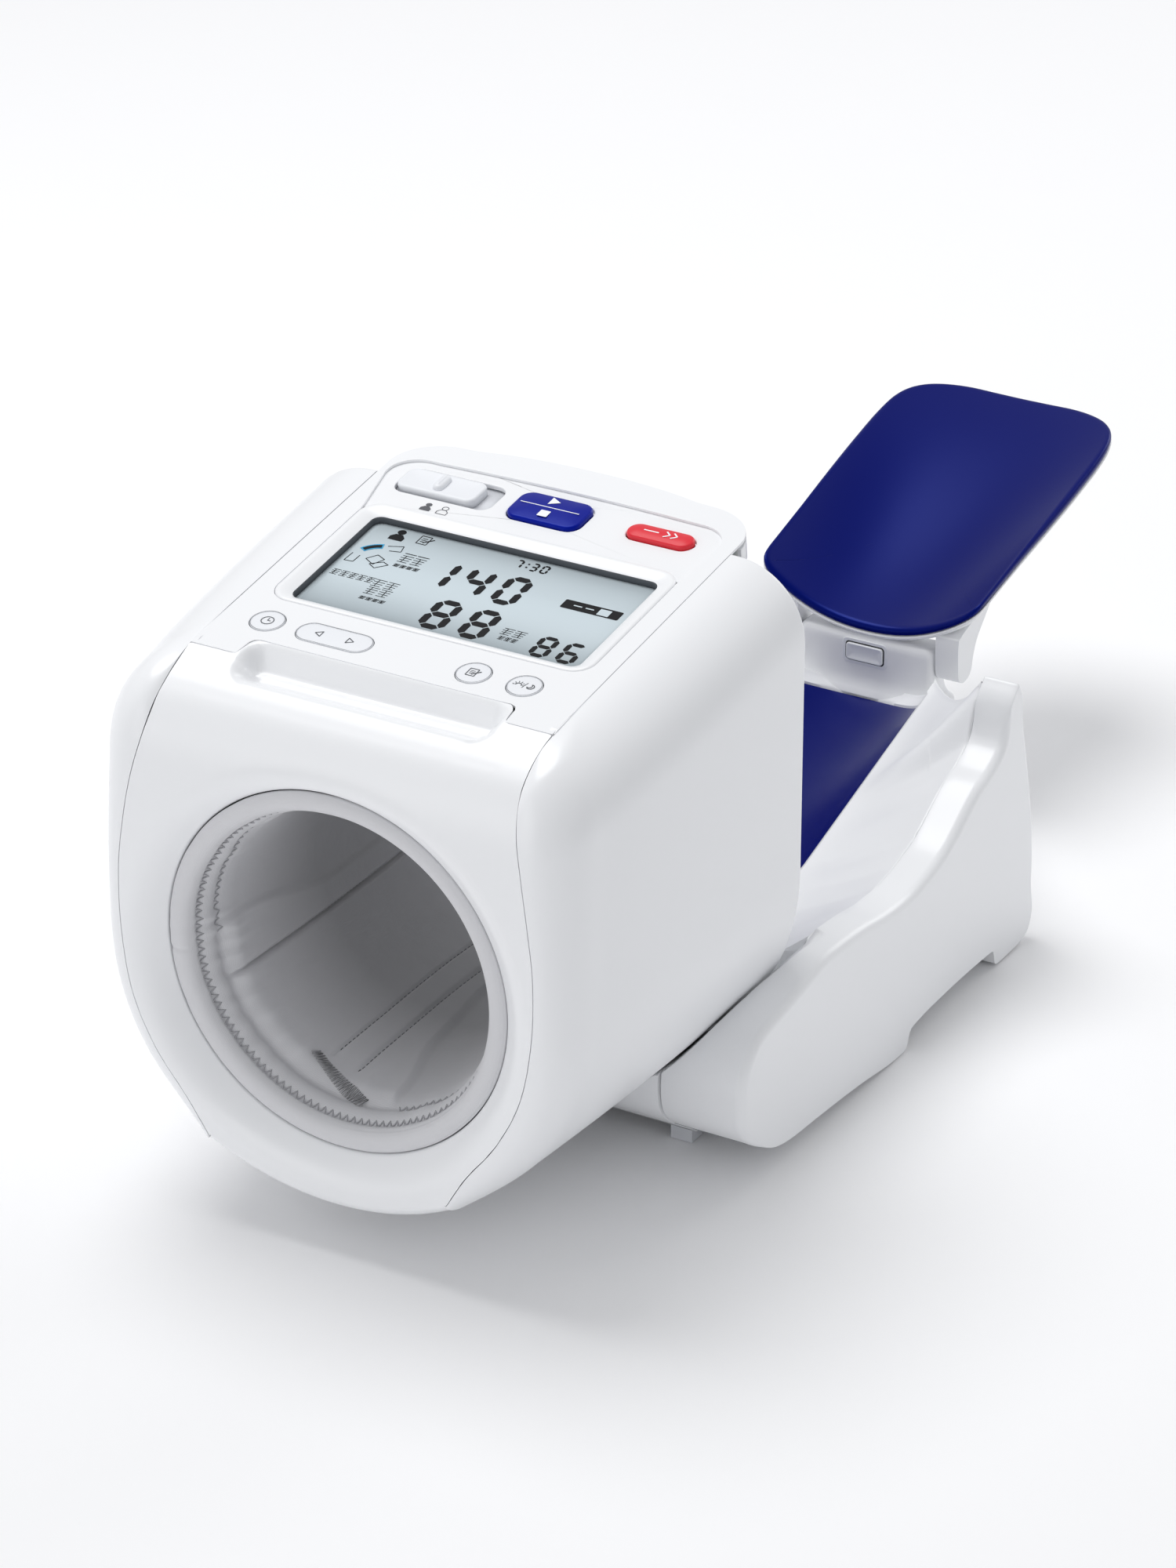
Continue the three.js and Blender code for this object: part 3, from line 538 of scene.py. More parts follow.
def round_box(cx, cy, width, height, r, steps=8):
    points = []
    for sx, sy, start in ((1, 1, 0), (-1, 1, 90), (-1, -1, 180), (1, -1, 270)):
        for i in range(steps + 1):
            a = math.radians(start + 90 * i / steps)
            x, y = cx + sx * (width / 2 - r), cy + sy * (height / 2 - r)
            points.append((x + r * math.cos(a), y + r * math.sin(a)))
    return points


def circle(cx, cy, r, steps=48):
    turns = [2 * math.pi * i / steps for i in range(steps)]
    return [(cx + r * math.cos(a), cy + r * math.sin(a)) for a in turns]


def plate(name, loops, low, high, to_frame=on_panel):
    work = bmesh.new()
    edges = []
    for loop in loops:
        verts = [work.verts.new((a, b, low)) for a, b in loop]
        edges += [work.edges.new((verts[i], verts[(i + 1) % len(verts)])) for i in range(len(verts))]
    filled = bmesh.ops.triangle_fill(work, edges=edges, use_beauty=True)
    faces = [f for f in filled["geom"] if isinstance(f, bmesh.types.BMFace)]
    raised = bmesh.ops.extrude_face_region(work, geom=faces)
    bmesh.ops.translate(work, vec=(0, 0, high - low),
                        verts=[v for v in raised["geom"] if isinstance(v, bmesh.types.BMVert)])
    bmesh.ops.recalc_face_normals(work, faces=work.faces)
    for vert in work.verts:
        vert.co = to_frame(vert.co)
    bmesh.ops.recalc_face_normals(work, faces=work.faces)
    mesh = bpy.data.meshes.new(name)
    work.to_mesh(mesh)
    work.free()
    return mesh


def inset(loop, distance):
    points = np.array(loop)
    following, previous = np.roll(points, -1, axis=0), np.roll(points, 1, axis=0)
    run = following - previous
    normal = np.stack([-run[:, 1], run[:, 0]], 1) / np.maximum(np.linalg.norm(run, axis=1), 1e-9)[:, None]
    area = np.sum(points[:, 0] * following[:, 1] - following[:, 0] * points[:, 1])
    return points + normal * distance * (1 if area > 0 else -1)


def key_cap(name, loop, low, high, edge=0.8, crown=0.5, to_frame=on_panel):
    """A closed cap: straight skirt, rounded edge, and a crown that rises to the middle."""
    loop, rings = np.array(loop), []
    rings.append([(a, b, low) for a, b in loop])
    rings.append([(a, b, high - edge) for a, b in loop])
    for f in np.linspace(0, math.pi / 2, 6)[1:]:
        ring = inset(loop, edge * (1 - math.cos(f)))
        rings.append([(a, b, high - edge + edge * math.sin(f)) for a, b in ring])
    rim, centre = inset(loop, edge), np.mean(loop, axis=0)
    spread = np.array([max(rim[:, 0]) - min(rim[:, 0]), max(rim[:, 1]) - min(rim[:, 1])])
    keep = np.array([max(spread[0] - spread[1], 0), max(spread[1] - spread[0], 0)]) / 2
    spine = centre + np.clip(rim - centre, -keep, keep)
    for f in (0.12, 0.3, 0.5, 0.7, 0.85, 1.0):
        ring = rim + (spine - rim) * f
        rings.append([(a, b, high + crown * (1 - (1 - f) ** 2)) for a, b in ring])
    count, points = len(loop), [p for ring in rings for p in ring]
    faces = loft_faces(len(rings), count) + [tuple(range(count))[::-1]]
    mesh = mesh_of(name, points, faces, to_frame)
    tidy_normals(mesh)
    return mesh


# %% Control panel
REAR_V = 154.0
DISPLAY_V = 68.2                       # middle of the display along the slope
panel_side = [(PANEL_HALF, -3.6), (PANEL_HALF, 131)] + [
    (PANEL_HALF - 22 + 22 * math.cos(a), 131 + 18.5 * math.sin(a)) for a in np.linspace(0.05, 1.42, 16)]
rear_edge = [(x, REAR_V - 4.6 * (abs(x) / 48) ** 2.4) for x in np.linspace(46, -46, 13)]
panel_loop = [(54.9, -3.6)] + panel_side + rear_edge + [(-x, v) for x, v in panel_side[::-1]]
panel_loop += [(-54.9, -3.6), (-54.2, 4.4), (-53.2, 6.3), (-51.2, 7.1)]
panel_loop += [(51.2, 7.1), (53.2, 6.3), (54.2, 4.4)]
shelf_loop = [(66.6, 103.4), (67.4, 124)]
shelf_loop += [(55.4 + 12 * math.cos(a), 126 + 11 * math.sin(a)) for a in np.linspace(0.1, 1.5, 14)]
shelf_loop += [(x, 138.4 - 1.2 * (abs(x) / 50) ** 2) for x in np.linspace(50, -54, 9)]
shelf_loop += [(-59 - 12 * math.cos(a), 126 + 11 * math.sin(a)) for a in np.linspace(1.5, 0.1, 9)]
shelf_loop += [(-71, 124), (-66.6, 103.4)]
bezel_loop = round_box(0, 68.6, 131.4, 71.6, 8.5)
opening = [(66.6, 103.3)] + shelf_loop[1:-1] + [(-66.6, 103.3)]
bezel_part = sorted([p for p in bezel_loop if p[1] < 100], key=lambda p: math.atan2(p[1] - 100, p[0]))
opening = [(65.7, 99)] + opening + [(-65.7, 99)] + [p for p in bezel_part if p[1] < 98]

KEYS = {"clock_button": (-55.6, 18.6), "memory_button": (29.2, 18.6), "daytime_button": (49.7, 18.6)}
ROCKER = (-27.7, 18.6)
ring_holes = [circle(x, v, 6.75) for x, v in KEYS.values()] + [round_box(*ROCKER, 30.9, 12.1, 5.95)]
panel = body_piece("control_panel", plate("control_panel", [panel_loop, opening] + ring_holes, -1.1, 0),
                   "drum", white_gloss, ["top_panel"])
round_edges(panel, 0.55, 50, 4)

SHELF_BOARD = [
    (71, 100.6), (71, 128), (64, 140), (50, 143), (-50, 143), (-66, 140), (-72.6, 128),
    (-72.6, 100.6), (-62, 100.6), (-60, 103.4), (60, 103.4), (62, 100.6),
]
START, DEFLATE, SWITCH = (-1, 124, 31, 18.8, 5.6), (44.7, 124.4, 27.6, 10, 4.9), (-43.4, 124, 41, 17, 4.6)
shelf = body_piece("key_shelf",
                   plate("key_shelf", [SHELF_BOARD, round_box(*START), round_box(*DEFLATE),
                                       round_box(*SWITCH)], -3.1, -1.15),
                   "drum", white_gloss)
round_edges(shelf, 0.5, 50, 4)
body_piece("switch_well", plate("switch_well", [round_box(-43.4, 124, 42.5, 18.5, 4)], -4.6, -3.4),
                  "drum", white_inner)
skirt = []
for x, v in panel_side[1:] + rear_edge + [(-x, v) for x, v in panel_side[::-1]][:-1]:
    centre_pull = 1 - 0.012 * (v > 100)
    skirt.append([(x, v, -2.6), (x, v, -6), (x * 0.999, v, -10), (x * 0.992 * centre_pull, v - 0.8, -16)])
rear_skirt = body_piece("panel_skirt", grid_mesh("panel_skirt", skirt, to_frame=on_panel), "drum",
                        white_gloss)
face_outward(rear_skirt.data, (0, 100, 200))
add_wall(rear_skirt, 1.6, 0.3)
print("control panel plates made")

# %% [markdown]
# ## Display
# The display sits at the bottom of a bevelled frame. The frame is a ring of quads between two rounded
# rectangles at different depths. The digits are seven-segment and float just over the glass.

# %% Display frame and glass
frame_rings = []
for width, height, r, w, mid in ((131.0, 71.2, 8.3, -1.6, 68.6), (131.0, 71.2, 8.3, -0.25, 68.6),
                                 (130.2, 70.4, 8.0, 0.15, 68.6),
                                 (128.6, 68.8, 7.4, 0.3, 68.6), (126.4, 66.6, 6.6, 0.1, 68.5),
                                 (119.4, 60.8, 4.2, -1.5, 68.3),
                                 (118.6, 60.2, 3.8, -1.75, 68.2)):
    frame_rings.append([(x, v, w) for x, v in round_box(0, mid, width, height, r)])
frame_rows = [list(column) for column in zip(*frame_rings)]
bezel = body_piece("display_frame", grid_mesh("display_frame", frame_rows, ring=True, to_frame=on_panel),
                   "drum", white_gloss, ["display_lens"])
tidy_normals(bezel.data)
# The recess walls take a dark grey that is partly painted shade of the recess.
wall_rings = [[(x, v, w) for x, v in round_box(0, 68.2, width, height, 3.6)] for width, height, w in
              ((119.6, 61.2, -1.9), (118.5, 60.1, -1.8), (118.1, 59.7, -2.2), (117.9, 59.5, -4.6),
               (119.6, 61.2, -4.6), (119.6, 61.2, -1.9))]
walls = body_piece("display_gasket", grid_mesh("display_gasket", [list(c) for c in zip(*wall_rings)],
                                               ring=True, to_frame=on_panel),
                   "drum", wall_grey_and_shade)
tidy_normals(walls.data)
body_piece("display_glass", plate("display_glass", [round_box(0, DISPLAY_V, 119.4, 61.0, 3.4)],
                                          -5.8, -4.36),
                   "drum", lcd_glow, ["display_module"])

# %% Seven-segment digits
INK_W, INK_SHIFT = -4.32, (0.95, -1.65)
SEGMENTS = {"0": "abcdef", "1": "bc", "3": "abcdg", "4": "bcfg", "6": "acdefg", "7": "abc", "8": "abcdefg"}


def segment(name, wide, high, thick):
    """One hexagonal bar of a digit; wide and high are measured between the bars' middles."""
    t, g = thick / 2, thick * 0.12
    ends = {"a": ((0, 2), (1, 2)), "b": ((1, 2), (1, 1)), "c": ((1, 1), (1, 0)), "d": ((0, 0), (1, 0)),
            "e": ((0, 1), (0, 0)), "f": ((0, 2), (0, 1)), "g": ((0, 1), (1, 1))}[name]
    a, b = (np.array(e) * (wide, high / 2) for e in ends)
    run = (b - a) / np.linalg.norm(b - a)
    side = np.array((-run[1], run[0])) * t
    a, b = a + run * g, b - run * g
    return [a, a + run * t + side, b - run * t + side, b, b - run * t - side, a + run * t - side]


def digit_shapes(text, x, v, wide, high, thick, pitch):
    """Seven-segment digits; x and v are the outer lower left corner of the first one."""
    shapes = []
    for symbol in text:
        if symbol == ":":
            for level in (0.3, 0.7):
                shapes.append(round_box(x + thick, v + high * level, thick, thick, thick * 0.2, 1))
            x += thick * 2.6
            continue
        for name in SEGMENTS[symbol]:
            bar_shape = segment(name, wide - thick, high - thick, thick)
            shapes.append([(x + thick / 2 + p[0], v + thick / 2 + p[1]) for p in bar_shape])
        x += pitch
    return shapes


def ink(name, shapes, look, w=INK_W, depth=0.05):
    points, faces = [], []
    for shape in shapes:
        first, count = len(points), len(shape)
        if w < -2:
            shape = [(a + INK_SHIFT[0], b + INK_SHIFT[1]) for a, b in shape]
        points += [(a, b, w) for a, b in shape] + [(a, b, w + depth) for a, b in shape]
        faces.append(tuple(range(first + count, first + 2 * count)))
        faces.append(tuple(range(first + count - 1, first - 1, -1)))
        for k in range(count):
            m = (k + 1) % count
            faces.append((first + k, first + m, first + count + m, first + count + k))
    mesh = mesh_of(name, points, faces, on_panel)
    tidy_normals(mesh, 0.001)
    piece = body_piece(name, mesh, "drum", look)
    mesh.shade_flat()
    return piece


def stroke(points, width):
    """A thin line through points, as one small quad per stretch."""
    shapes = []
    for (ax, av), (bx, bv) in zip(points, points[1:]):
        run = np.array((bx - ax, bv - av))
        size = max(np.linalg.norm(run), 1e-6)
        side = np.array((-run[1], run[0])) / size * width / 2
        a, b = np.array((ax, av)), np.array((bx, bv))
        shapes.append([tuple(a - side), tuple(b - side), tuple(b + side), tuple(a + side)])
    return shapes


digits = digit_shapes("1", -25.0, 68.6, 10.3, 18.8, 2.85, 0)
digits += digit_shapes("40", -10.4, 68.6, 10.3, 18.8, 2.85, 14.7)
digits += digit_shapes("88", -11.3, 44.5, 10.8, 19.3, 2.95, 16.1)
digits += digit_shapes("86", 34.9, 43.8, 7.6, 13.3, 2.0, 10.7)
digits += digit_shapes("7:30", 1.0, 92.4, 3.1, 5.3, 0.82, 4.3)
ink("display_digits", digits, lcd_ink)
ink("display_bar", [round_box(42, 78.5, 23.4, 5.4, 0.4, 1)], lcd_ink)
ink("display_bar_window", [round_box(47.2, 78.3, 4.6, 3.9, 0.2, 1), round_box(36.4, 78.5, 3.4, 0.6, 0.1, 1),
                           round_box(41.2, 78.5, 3.4, 0.6, 0.1, 1)], lcd_glow, INK_W + 0.06)


def person(x, v, size):
    head = [(x + 0.24 * size * math.cos(a), v + 0.78 * size + 0.22 * size * math.sin(a))
            for a in np.linspace(0, 2 * math.pi, 17)[:-1]]
    body = [(x - 0.4 * size, v), (x + 0.4 * size, v), (x + 0.42 * size, v + 0.3 * size),
            (x + 0.2 * size, v + 0.55 * size),
            (x - 0.2 * size, v + 0.55 * size), (x - 0.42 * size, v + 0.3 * size)]
    return [head, body]


def page(x, v, size, width):
    border = [(x, v), (x + size * 0.8, v), (x + size * 0.8, v + size), (x, v + size), (x, v)]
    shapes = stroke(border, width)
    for k in (0.3, 0.5, 0.7):
        shapes += stroke([(x + size * 0.18, v + size * k), (x + size * 0.6, v + size * k)], width * 0.8)
    return shapes + stroke([(x + size * 0.45, v + size * 0.2), (x + size * 1.1, v + size * 0.8)],
                           width * 1.5)


def closed_line(points, width):
    return stroke(list(points) + [points[0]], width)


arm_icon = stroke([(-57.0, 77.9), (-57.4, 72.3), (-53.8, 72.6), (-53.6, 77.2)], 0.32)
arm_icon += closed_line([(-50.5, 76.2), (-47.6, 80.0), (-43.8, 78.2), (-46.2, 73.8)], 0.32)
arm_icon += closed_line([(-47.5, 73.6), (-44.4, 71.8), (-40.6, 75.4), (-43.2, 76.6)], 0.32)
arm_icon += stroke([(-47.4, 86.6), (-41.8, 88.6), (-41.0, 84.9), (-45.4, 84.0)], 0.32)


def arc_band(outer, inner, start, stop):
    centre = (-46.5, 76.5)
    turns = [(math.radians(a), math.radians(a + 6)) for a in np.arange(start, stop, 6)]
    return [[(centre[0] + r * math.cos(t), centre[1] + r * math.sin(t)) for r, t in
             ((outer, a), (inner, a), (inner, b), (outer, b))] for a, b in turns]


# Each row stands for a printed word on the glass: where it starts, how wide and tall, how many marks.
marks_ink = []
for x, v, wide, tall, marks in ((-39.2, 79.2, 4.9, 4.2, 2), (-39.0, 84.9, 4.9, 0.1, 2),
                                (-39.0, 75.8, 2.5, 1.6, 4), (-57.6, 62.6, 3.4, 3.2, 5),
                                (-39.6, 61.4, 4.9, 4.2, 2), (-39.4, 56.0, 4.9, 4.2, 2),
                                (-39.0, 52.2, 2.5, 1.6, 4),
                                (19.6, 52.0, 4.6, 3.8, 2), (20.6, 48.6, 2.4, 2.0, 3)):
    for k in range(marks):
        left, step = x + k * wide * 1.08, tall / 3
        for level in (0, 1, 2, 3):
            marks_ink += stroke([(left + 0.2 * (level % 2), v + level * step),
                                 (left + wide * (0.8 + 0.06 * level), v + level * step)], 0.26)
        marks_ink += stroke([(left + wide * (0.3 + 0.2 * (k % 2)), v),
                             (left + wide * (0.36 + 0.1 * (k % 3)), v + tall)], 0.28)
ink("display_marks", person(-47.6, 91.2, 7.2) + page(-39.4, 92.6, 5.2, 0.34) + arm_icon + marks_ink,
    lcd_ink)
ink("display_arc_edge", arc_band(11.0, 8.0, 104, 152), lcd_cyan, INK_W + 0.03)
ink("display_arc", arc_band(10.4, 8.5, 107, 146), lcd_ink, INK_W + 0.07)
print("display:", len(digits), "segments")

# %% [markdown]
# ## Keys
# The four flush keys are part of one soft white membrane: low caps with a printed hairline and symbol.
# The start key is a glossy navy cushion and the deflate key a red lozenge. The user switch is a sliding
# block with a thumb ridge, standing in a well.

# %% Flush keys
PRINT_RISE = 0.03                      # thickness of printed ink


def symbol(name, shapes, body, look=print_grey, w=0.34):
    printed = ink(name, shapes, look, w, PRINT_RISE)
    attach(printed, body)
    return printed


KEY_BODY = {"clock_button": "clock_key", "memory_button": "memory_key", "daytime_button": "daytime_key"}
for node, (x, v) in KEYS.items():
    cap = key_cap(node + "_cap", circle(x, v, 6.45), -6.5, 0.1, 0.35, 0.18)
    body_piece(node + "_cap", cap, KEY_BODY[node], white_satin, [node])
rocker = key_cap("recall_rocker_cap", round_box(*ROCKER, 30.4, 11.6, 5.75), -6, 0.1, 0.35, 0.18)
body_piece("recall_rocker_cap", rocker, "recall_rocker", white_satin, ["memory_rocker"])


def ring_line(loop, width):
    outer, inner = np.array(loop), inset(loop, width)
    count = len(outer)
    return [[tuple(outer[k]), tuple(outer[(k + 1) % count]), tuple(inner[(k + 1) % count]),
             tuple(inner[k])] for k in range(count)]


clock_at, memo_at, day_at = KEYS["clock_button"], KEYS["memory_button"], KEYS["daytime_button"]
symbol("clock_symbol", ring_line(circle(*clock_at, 2.5, 32), 0.36)
       + stroke([(clock_at[0], clock_at[1] + 1.6), clock_at,
       (clock_at[0] + 1.3, clock_at[1])], 0.34), "clock_key")
symbol("memory_symbol", page(memo_at[0] - 2.2, memo_at[1] - 2.1, 4.3, 0.34), "memory_key")
sun = [(day_at[0] - 2.2 + 1.2 * math.cos(a), day_at[1] - 0.6 + 1.2 * math.sin(a))
       for a in np.linspace(0, math.pi, 9)]
rays = [stroke([(day_at[0] - 2.2 + r0 * math.cos(a), day_at[1] - 0.6 + r0 * math.sin(a))
                for r0 in (1.6, 2.4)], 0.25)
        for a in np.linspace(0.1, math.pi - 0.1, 6)]
moon = [(day_at[0] + 2.4 + 1.4 * math.cos(a), day_at[1] + 1.4 * math.sin(a))
        for a in np.linspace(-2.4, 1.2, 12)]
moon += [(day_at[0] + 1.8 + 1.1 * math.cos(a), day_at[1] + 0.35 + 1.1 * math.sin(a))
         for a in np.linspace(1.0, -2.2, 10)]
symbol("daytime_symbol", stroke(sun, 0.36) + sum(rays, []) + stroke(moon, 0.34)
       + stroke([(day_at[0] - 0.3, day_at[1] - 1.6), (day_at[0] + 0.6, day_at[1] + 1.8)], 0.26),
       "daytime_key")
left_arrow = [(-35.6, 18.6), (-33.0, 20.2), (-33.0, 17.0), (-35.6, 18.6)]
right_arrow = [(-19.8, 18.6), (-22.4, 20.2), (-22.4, 17.0), (-19.8, 18.6)]
for node, (x, v) in KEYS.items():
    symbol(node + "_outline", ring_line(circle(x, v, 6.3, 48), 0.2), KEY_BODY[node], key_line)
symbol("recall_outline", ring_line(round_box(*ROCKER, 30.1, 11.3, 5.6), 0.2), "recall_rocker", key_line)
symbol("recall_symbols", stroke(left_arrow, 0.38) + stroke(right_arrow, 0.38), "recall_rocker")

# %% Start, deflate and user switch
body_piece("start_stop_cap", key_cap("start_stop_cap", round_box(-1, 124, 30.2, 18.0, 5.2), -6.4, 0.35,
                                     1.1, 0.75),
           "start_stop_key", navy_key, ["start_stop_button"])
body_piece("deflate_cap", key_cap("deflate_cap", round_box(44.7, 124.4, 26.8, 9.2, 4.5), -6.4, 0.5, 1.1,
                                  0.5),
           "deflate_key", red_key, ["deflate_button"])
symbol("start_stop_print", stroke([(-13.2, 124), (11.2, 124)], 0.4)
       + [[(-3.0, 125.8), (1.2, 128.2), (-3.0, 130.6)]]
       + [round_box(-1, 119.6, 4, 4, 0.2, 1)], "start_stop_key", print_white, 1.1)
symbol("deflate_print", stroke([(38, 124.4), (44, 124.4)], 0.6)
       + stroke([(46.5, 126.2), (48.6, 124.4), (46.5, 122.6)], 0.6)
       + stroke([(49.5, 126.2), (51.6, 124.4), (49.5, 122.6)], 0.6), "deflate_key", print_white, 1.02)
body_piece("user_switch_block",
           key_cap("user_switch_block", round_box(-46.6, 124, 33.2, 13.8, 3.8), -3.2, 0.3, 1.0,
                   -0.5),
           "user_switch", white_satin, ["user_switch"])
body_piece("user_switch_ridge", key_cap("user_switch_ridge", round_box(-46.6, 124, 4.2, 9.6, 2.0), -0.6,
                                        1.9, 1.5, 0.3),
           "user_switch", white_satin)
symbol("user_symbols", person(-44.6, 107.2, 5.2)
       + sum([stroke(p + [p[0]], 0.3) for p in person(-37.6, 107.2, 5.2)], []),
       "drum", print_grey, -1.09)

# %% [markdown]
# ## The cuff
# The cuff is a padded sleeve of soft grey cloth. Its front lip is turned over and sewn down with a
# zigzag stitch. Inside, a wrap panel lies over the lining from the left wall to the bottom: it has a
# sewn seam along it, a band held by two rows of stitches, and small gathers where it is tacked.
# Angles around the bore are in degrees from the right, going up.

# %% Grey cloth


def cloth(name, colour, weave=0.5, deep=1.0):
    made = bpy.data.materials.new(name)
    made.use_nodes = True
    nodes, links = made.node_tree.nodes, made.node_tree.links
    shader = nodes["Principled BSDF"]
    shader.inputs["Base Color"].default_value = (*colour, 1)
    shader.inputs["Roughness"].default_value = 0.92
    shader.inputs["Sheen Weight"].default_value = 0.35
    shader.inputs["Sheen Roughness"].default_value = 0.45
    where = nodes.new("ShaderNodeTexCoord")
    # Deeper into the sleeve the base colour darkens to a fraction of the cloth's colour: painted shade
    # inside the bore.
    if deep < 1:
        axes = nodes.new("ShaderNodeSeparateXYZ")
        links.new(where.outputs["Object"], axes.inputs["Vector"])
        shade = nodes.new("ShaderNodeMapRange")
        shade.inputs["From Min"].default_value = origin_y + 0.015
        shade.inputs["From Max"].default_value = origin_y + 0.075
        shade.inputs["To Min"].default_value = 1.0
        shade.inputs["To Max"].default_value = 0.0
        links.new(axes.outputs["Y"], shade.inputs["Value"])
        mix = nodes.new("ShaderNodeMix")
        mix.data_type = "RGBA"
        mix.inputs["A"].default_value = (*(deep * c for c in colour), 1)
        mix.inputs["B"].default_value = (*colour, 1)
        links.new(shade.outputs["Result"], mix.inputs["Factor"])
        links.new(mix.outputs["Result"], shader.inputs["Base Color"])
    height = None
    for direction, scale in (("X", 620), ("Z", 620), ("Y", 620)):
        wave = nodes.new("ShaderNodeTexWave")
        wave.bands_direction = direction
        wave.inputs["Scale"].default_value = scale
        wave.inputs["Distortion"].default_value = 1.2
        links.new(where.outputs["Object"], wave.inputs["Vector"])
        if height is None:
            height = wave.outputs["Fac"]
            continue
        add = nodes.new("ShaderNodeMath")
        links.new(height, add.inputs[0])
        links.new(wave.outputs["Fac"], add.inputs[1])
        height = add.outputs["Value"]
    soft = nodes.new("ShaderNodeTexNoise")
    soft.inputs["Scale"].default_value = 130
    soft.inputs["Detail"].default_value = 4
    links.new(where.outputs["Object"], soft.inputs["Vector"])
    fine = nodes.new("ShaderNodeBump")
    fine.inputs["Strength"].default_value = 0.16 * weave
    fine.inputs["Distance"].default_value = 0.0004
    links.new(height, fine.inputs["Height"])
    broad = nodes.new("ShaderNodeBump")
    broad.inputs["Strength"].default_value = 0.10
    broad.inputs["Distance"].default_value = 0.003
    links.new(soft.outputs["Fac"], broad.inputs["Height"])
    links.new(fine.outputs["Normal"], broad.inputs["Normal"])
    links.new(broad.outputs["Normal"], shader.inputs["Normal"])
    return made


# The cuff cloth carries painted shade: its colour darkens to half deeper in the sleeve.
grey_cloth = cloth("grey cuff cloth", srgb("d6d6d9"), deep=0.5)
thread = cloth("grey thread", srgb("5c5c61"), 0.2)
pale_thread = cloth("pale thread", srgb("b4b4b8"), 0.2)

# %% Shape of the cuff
LIP = [
    (69.75, 0.9), (69.5, -0.4), (67.6, -1.35), (65.0, -1.3), (62.8, -0.1), (61.4, 2.0), (60.6, 4.4),
    (60.0, 7.4), (59.0, 12), (58.2, 18), (57.3, 26), (56.3, 45), (55.8, 75), (56.2, 105),
    (57.3, 124), (58.6, 136), (60.4, 145), (62.8, 150), (66, 151.8), (69.2, 151.4),
]
LIP_STEPS = 54
LIP_T = np.concatenate([np.linspace(0, 0.5, LIP_STEPS), np.linspace(0.5, 0.79, 62)[1:],
                        np.linspace(0.79, 1, 24)[1:]])


def wrap_edges(y):
    """The two long edges of the wrap panel, as angles at depth y."""
    return 181 + 11.5 * smooth(28, 84, y), 284 - 9 * smooth(22, 62, y) - 5 * smooth(55, 110, y)


GATHERS = [
    (178, 12, 1.7, 0.75, 8), (184, 15, 2.0, 0.9, 10), (190, 20, 2.6, 0.9, 12),
    (196, 17, 2.2, 0.8, 9), (206, 20, 3.0, 0.9, 13), (213, 17, 2.4, 0.7, 9),
    (222, 19, 3.4, 0.8, 12), (231, 16, 2.8, 0.6, 10), (240, 20, 3.0, 0.7, 9),
    (268, 22, 3.0, 0.6, 10), (30, 14, 4.0, 0.35, 9), (95, 13, 5.0, 0.35, 9), (128, 13, 4.0, 0.4, 9),
    (150, 14, 3.5, 0.45, 10), (300, 13, 4.0, 0.35, 8),
]


def cuff_radius(angle, y, radius):
    """The cloth surface: rings, the raised wrap panel, seams, gathers and slow swells."""
    upper, lower = wrap_edges(y)
    inside = smooth(12.5, 20, y) * (1 - smooth(138, 147, y))
    raised = smooth(upper - 0.8, upper + 1.6, angle) * (1 - smooth(lower - 2.2, lower + 0.9, angle))
    radius = radius - 2.3 * raised * inside
    seam = (angle - 202.5 - 0.012 * (y - 14))
    radius -= 0.5 * np.exp(-(seam / 4.5) ** 2) * smooth(12, 20, y) * (1 - smooth(134, 142, y))
    radius += 2.8 * np.exp(-(seam / 0.85) ** 2) * smooth(12, 18, y) * (1 - smooth(136, 142, y))
    for line in (249.5, 261.5):
        groove = np.exp(-((angle - line) / 0.6) ** 2)
        radius += 0.95 * groove * smooth(24, 30, y) * (1 - smooth(136, 142, y))
    band = smooth(249.5, 251.5, angle) * (1 - smooth(259.5, 261.5, angle))
    radius -= 0.7 * band * smooth(26, 33, y) * (1 - smooth(134, 142, y))
    radius += 1.0 * np.exp(-((y - 4.4) / 1.25) ** 2) + 0.9 * np.exp(-((y - 13.2) / 1.5) ** 2)
    radius -= 0.7 * np.exp(-((y - 8.6) / 2.4) ** 2) + 0.5 * np.exp(-((y - 19) / 4.0) ** 2)
    for middle, depth, width, tall, long in GATHERS:
        slant = middle + 0.14 * (y - depth)
        radius -= 1.75 * tall * np.exp(-((angle - slant) / width) ** 2) * np.exp(-((y - depth) / long) ** 2)
    ribs = smooth(262, 285, angle) + (1 - smooth(8, 25, angle))
    radius += 0.10 * ribs * (1 - smooth(1.5, 5, y)) * np.sin(radius * 2 * math.pi / 0.95)
    turn_at = np.radians(angle)
    radius += 0.25 * np.sin(turn_at * 7 + y * 0.05) * inside + 0.2 * np.sin(turn_at * 3 - y * 0.09) * inside
    return radius


def cuff_point(angle, y, radius, lift=0.0):
    """Points on the cloth; angle, y and radius may be numbers or arrays of one shape."""
    angle, y, radius = (np.asarray(v, float) for v in (angle, y, radius))
    r = cuff_radius(angle % 360, y, radius) - lift
    tuck = 0.5 * np.exp(-(((angle % 360) - 186.5) / 0.8) ** 2) * (1 - smooth(4, 12, y))
    a = np.radians(angle)
    return np.stack([r * np.cos(a), y + tuck, BORE_Z + r * np.sin(a)], -1)


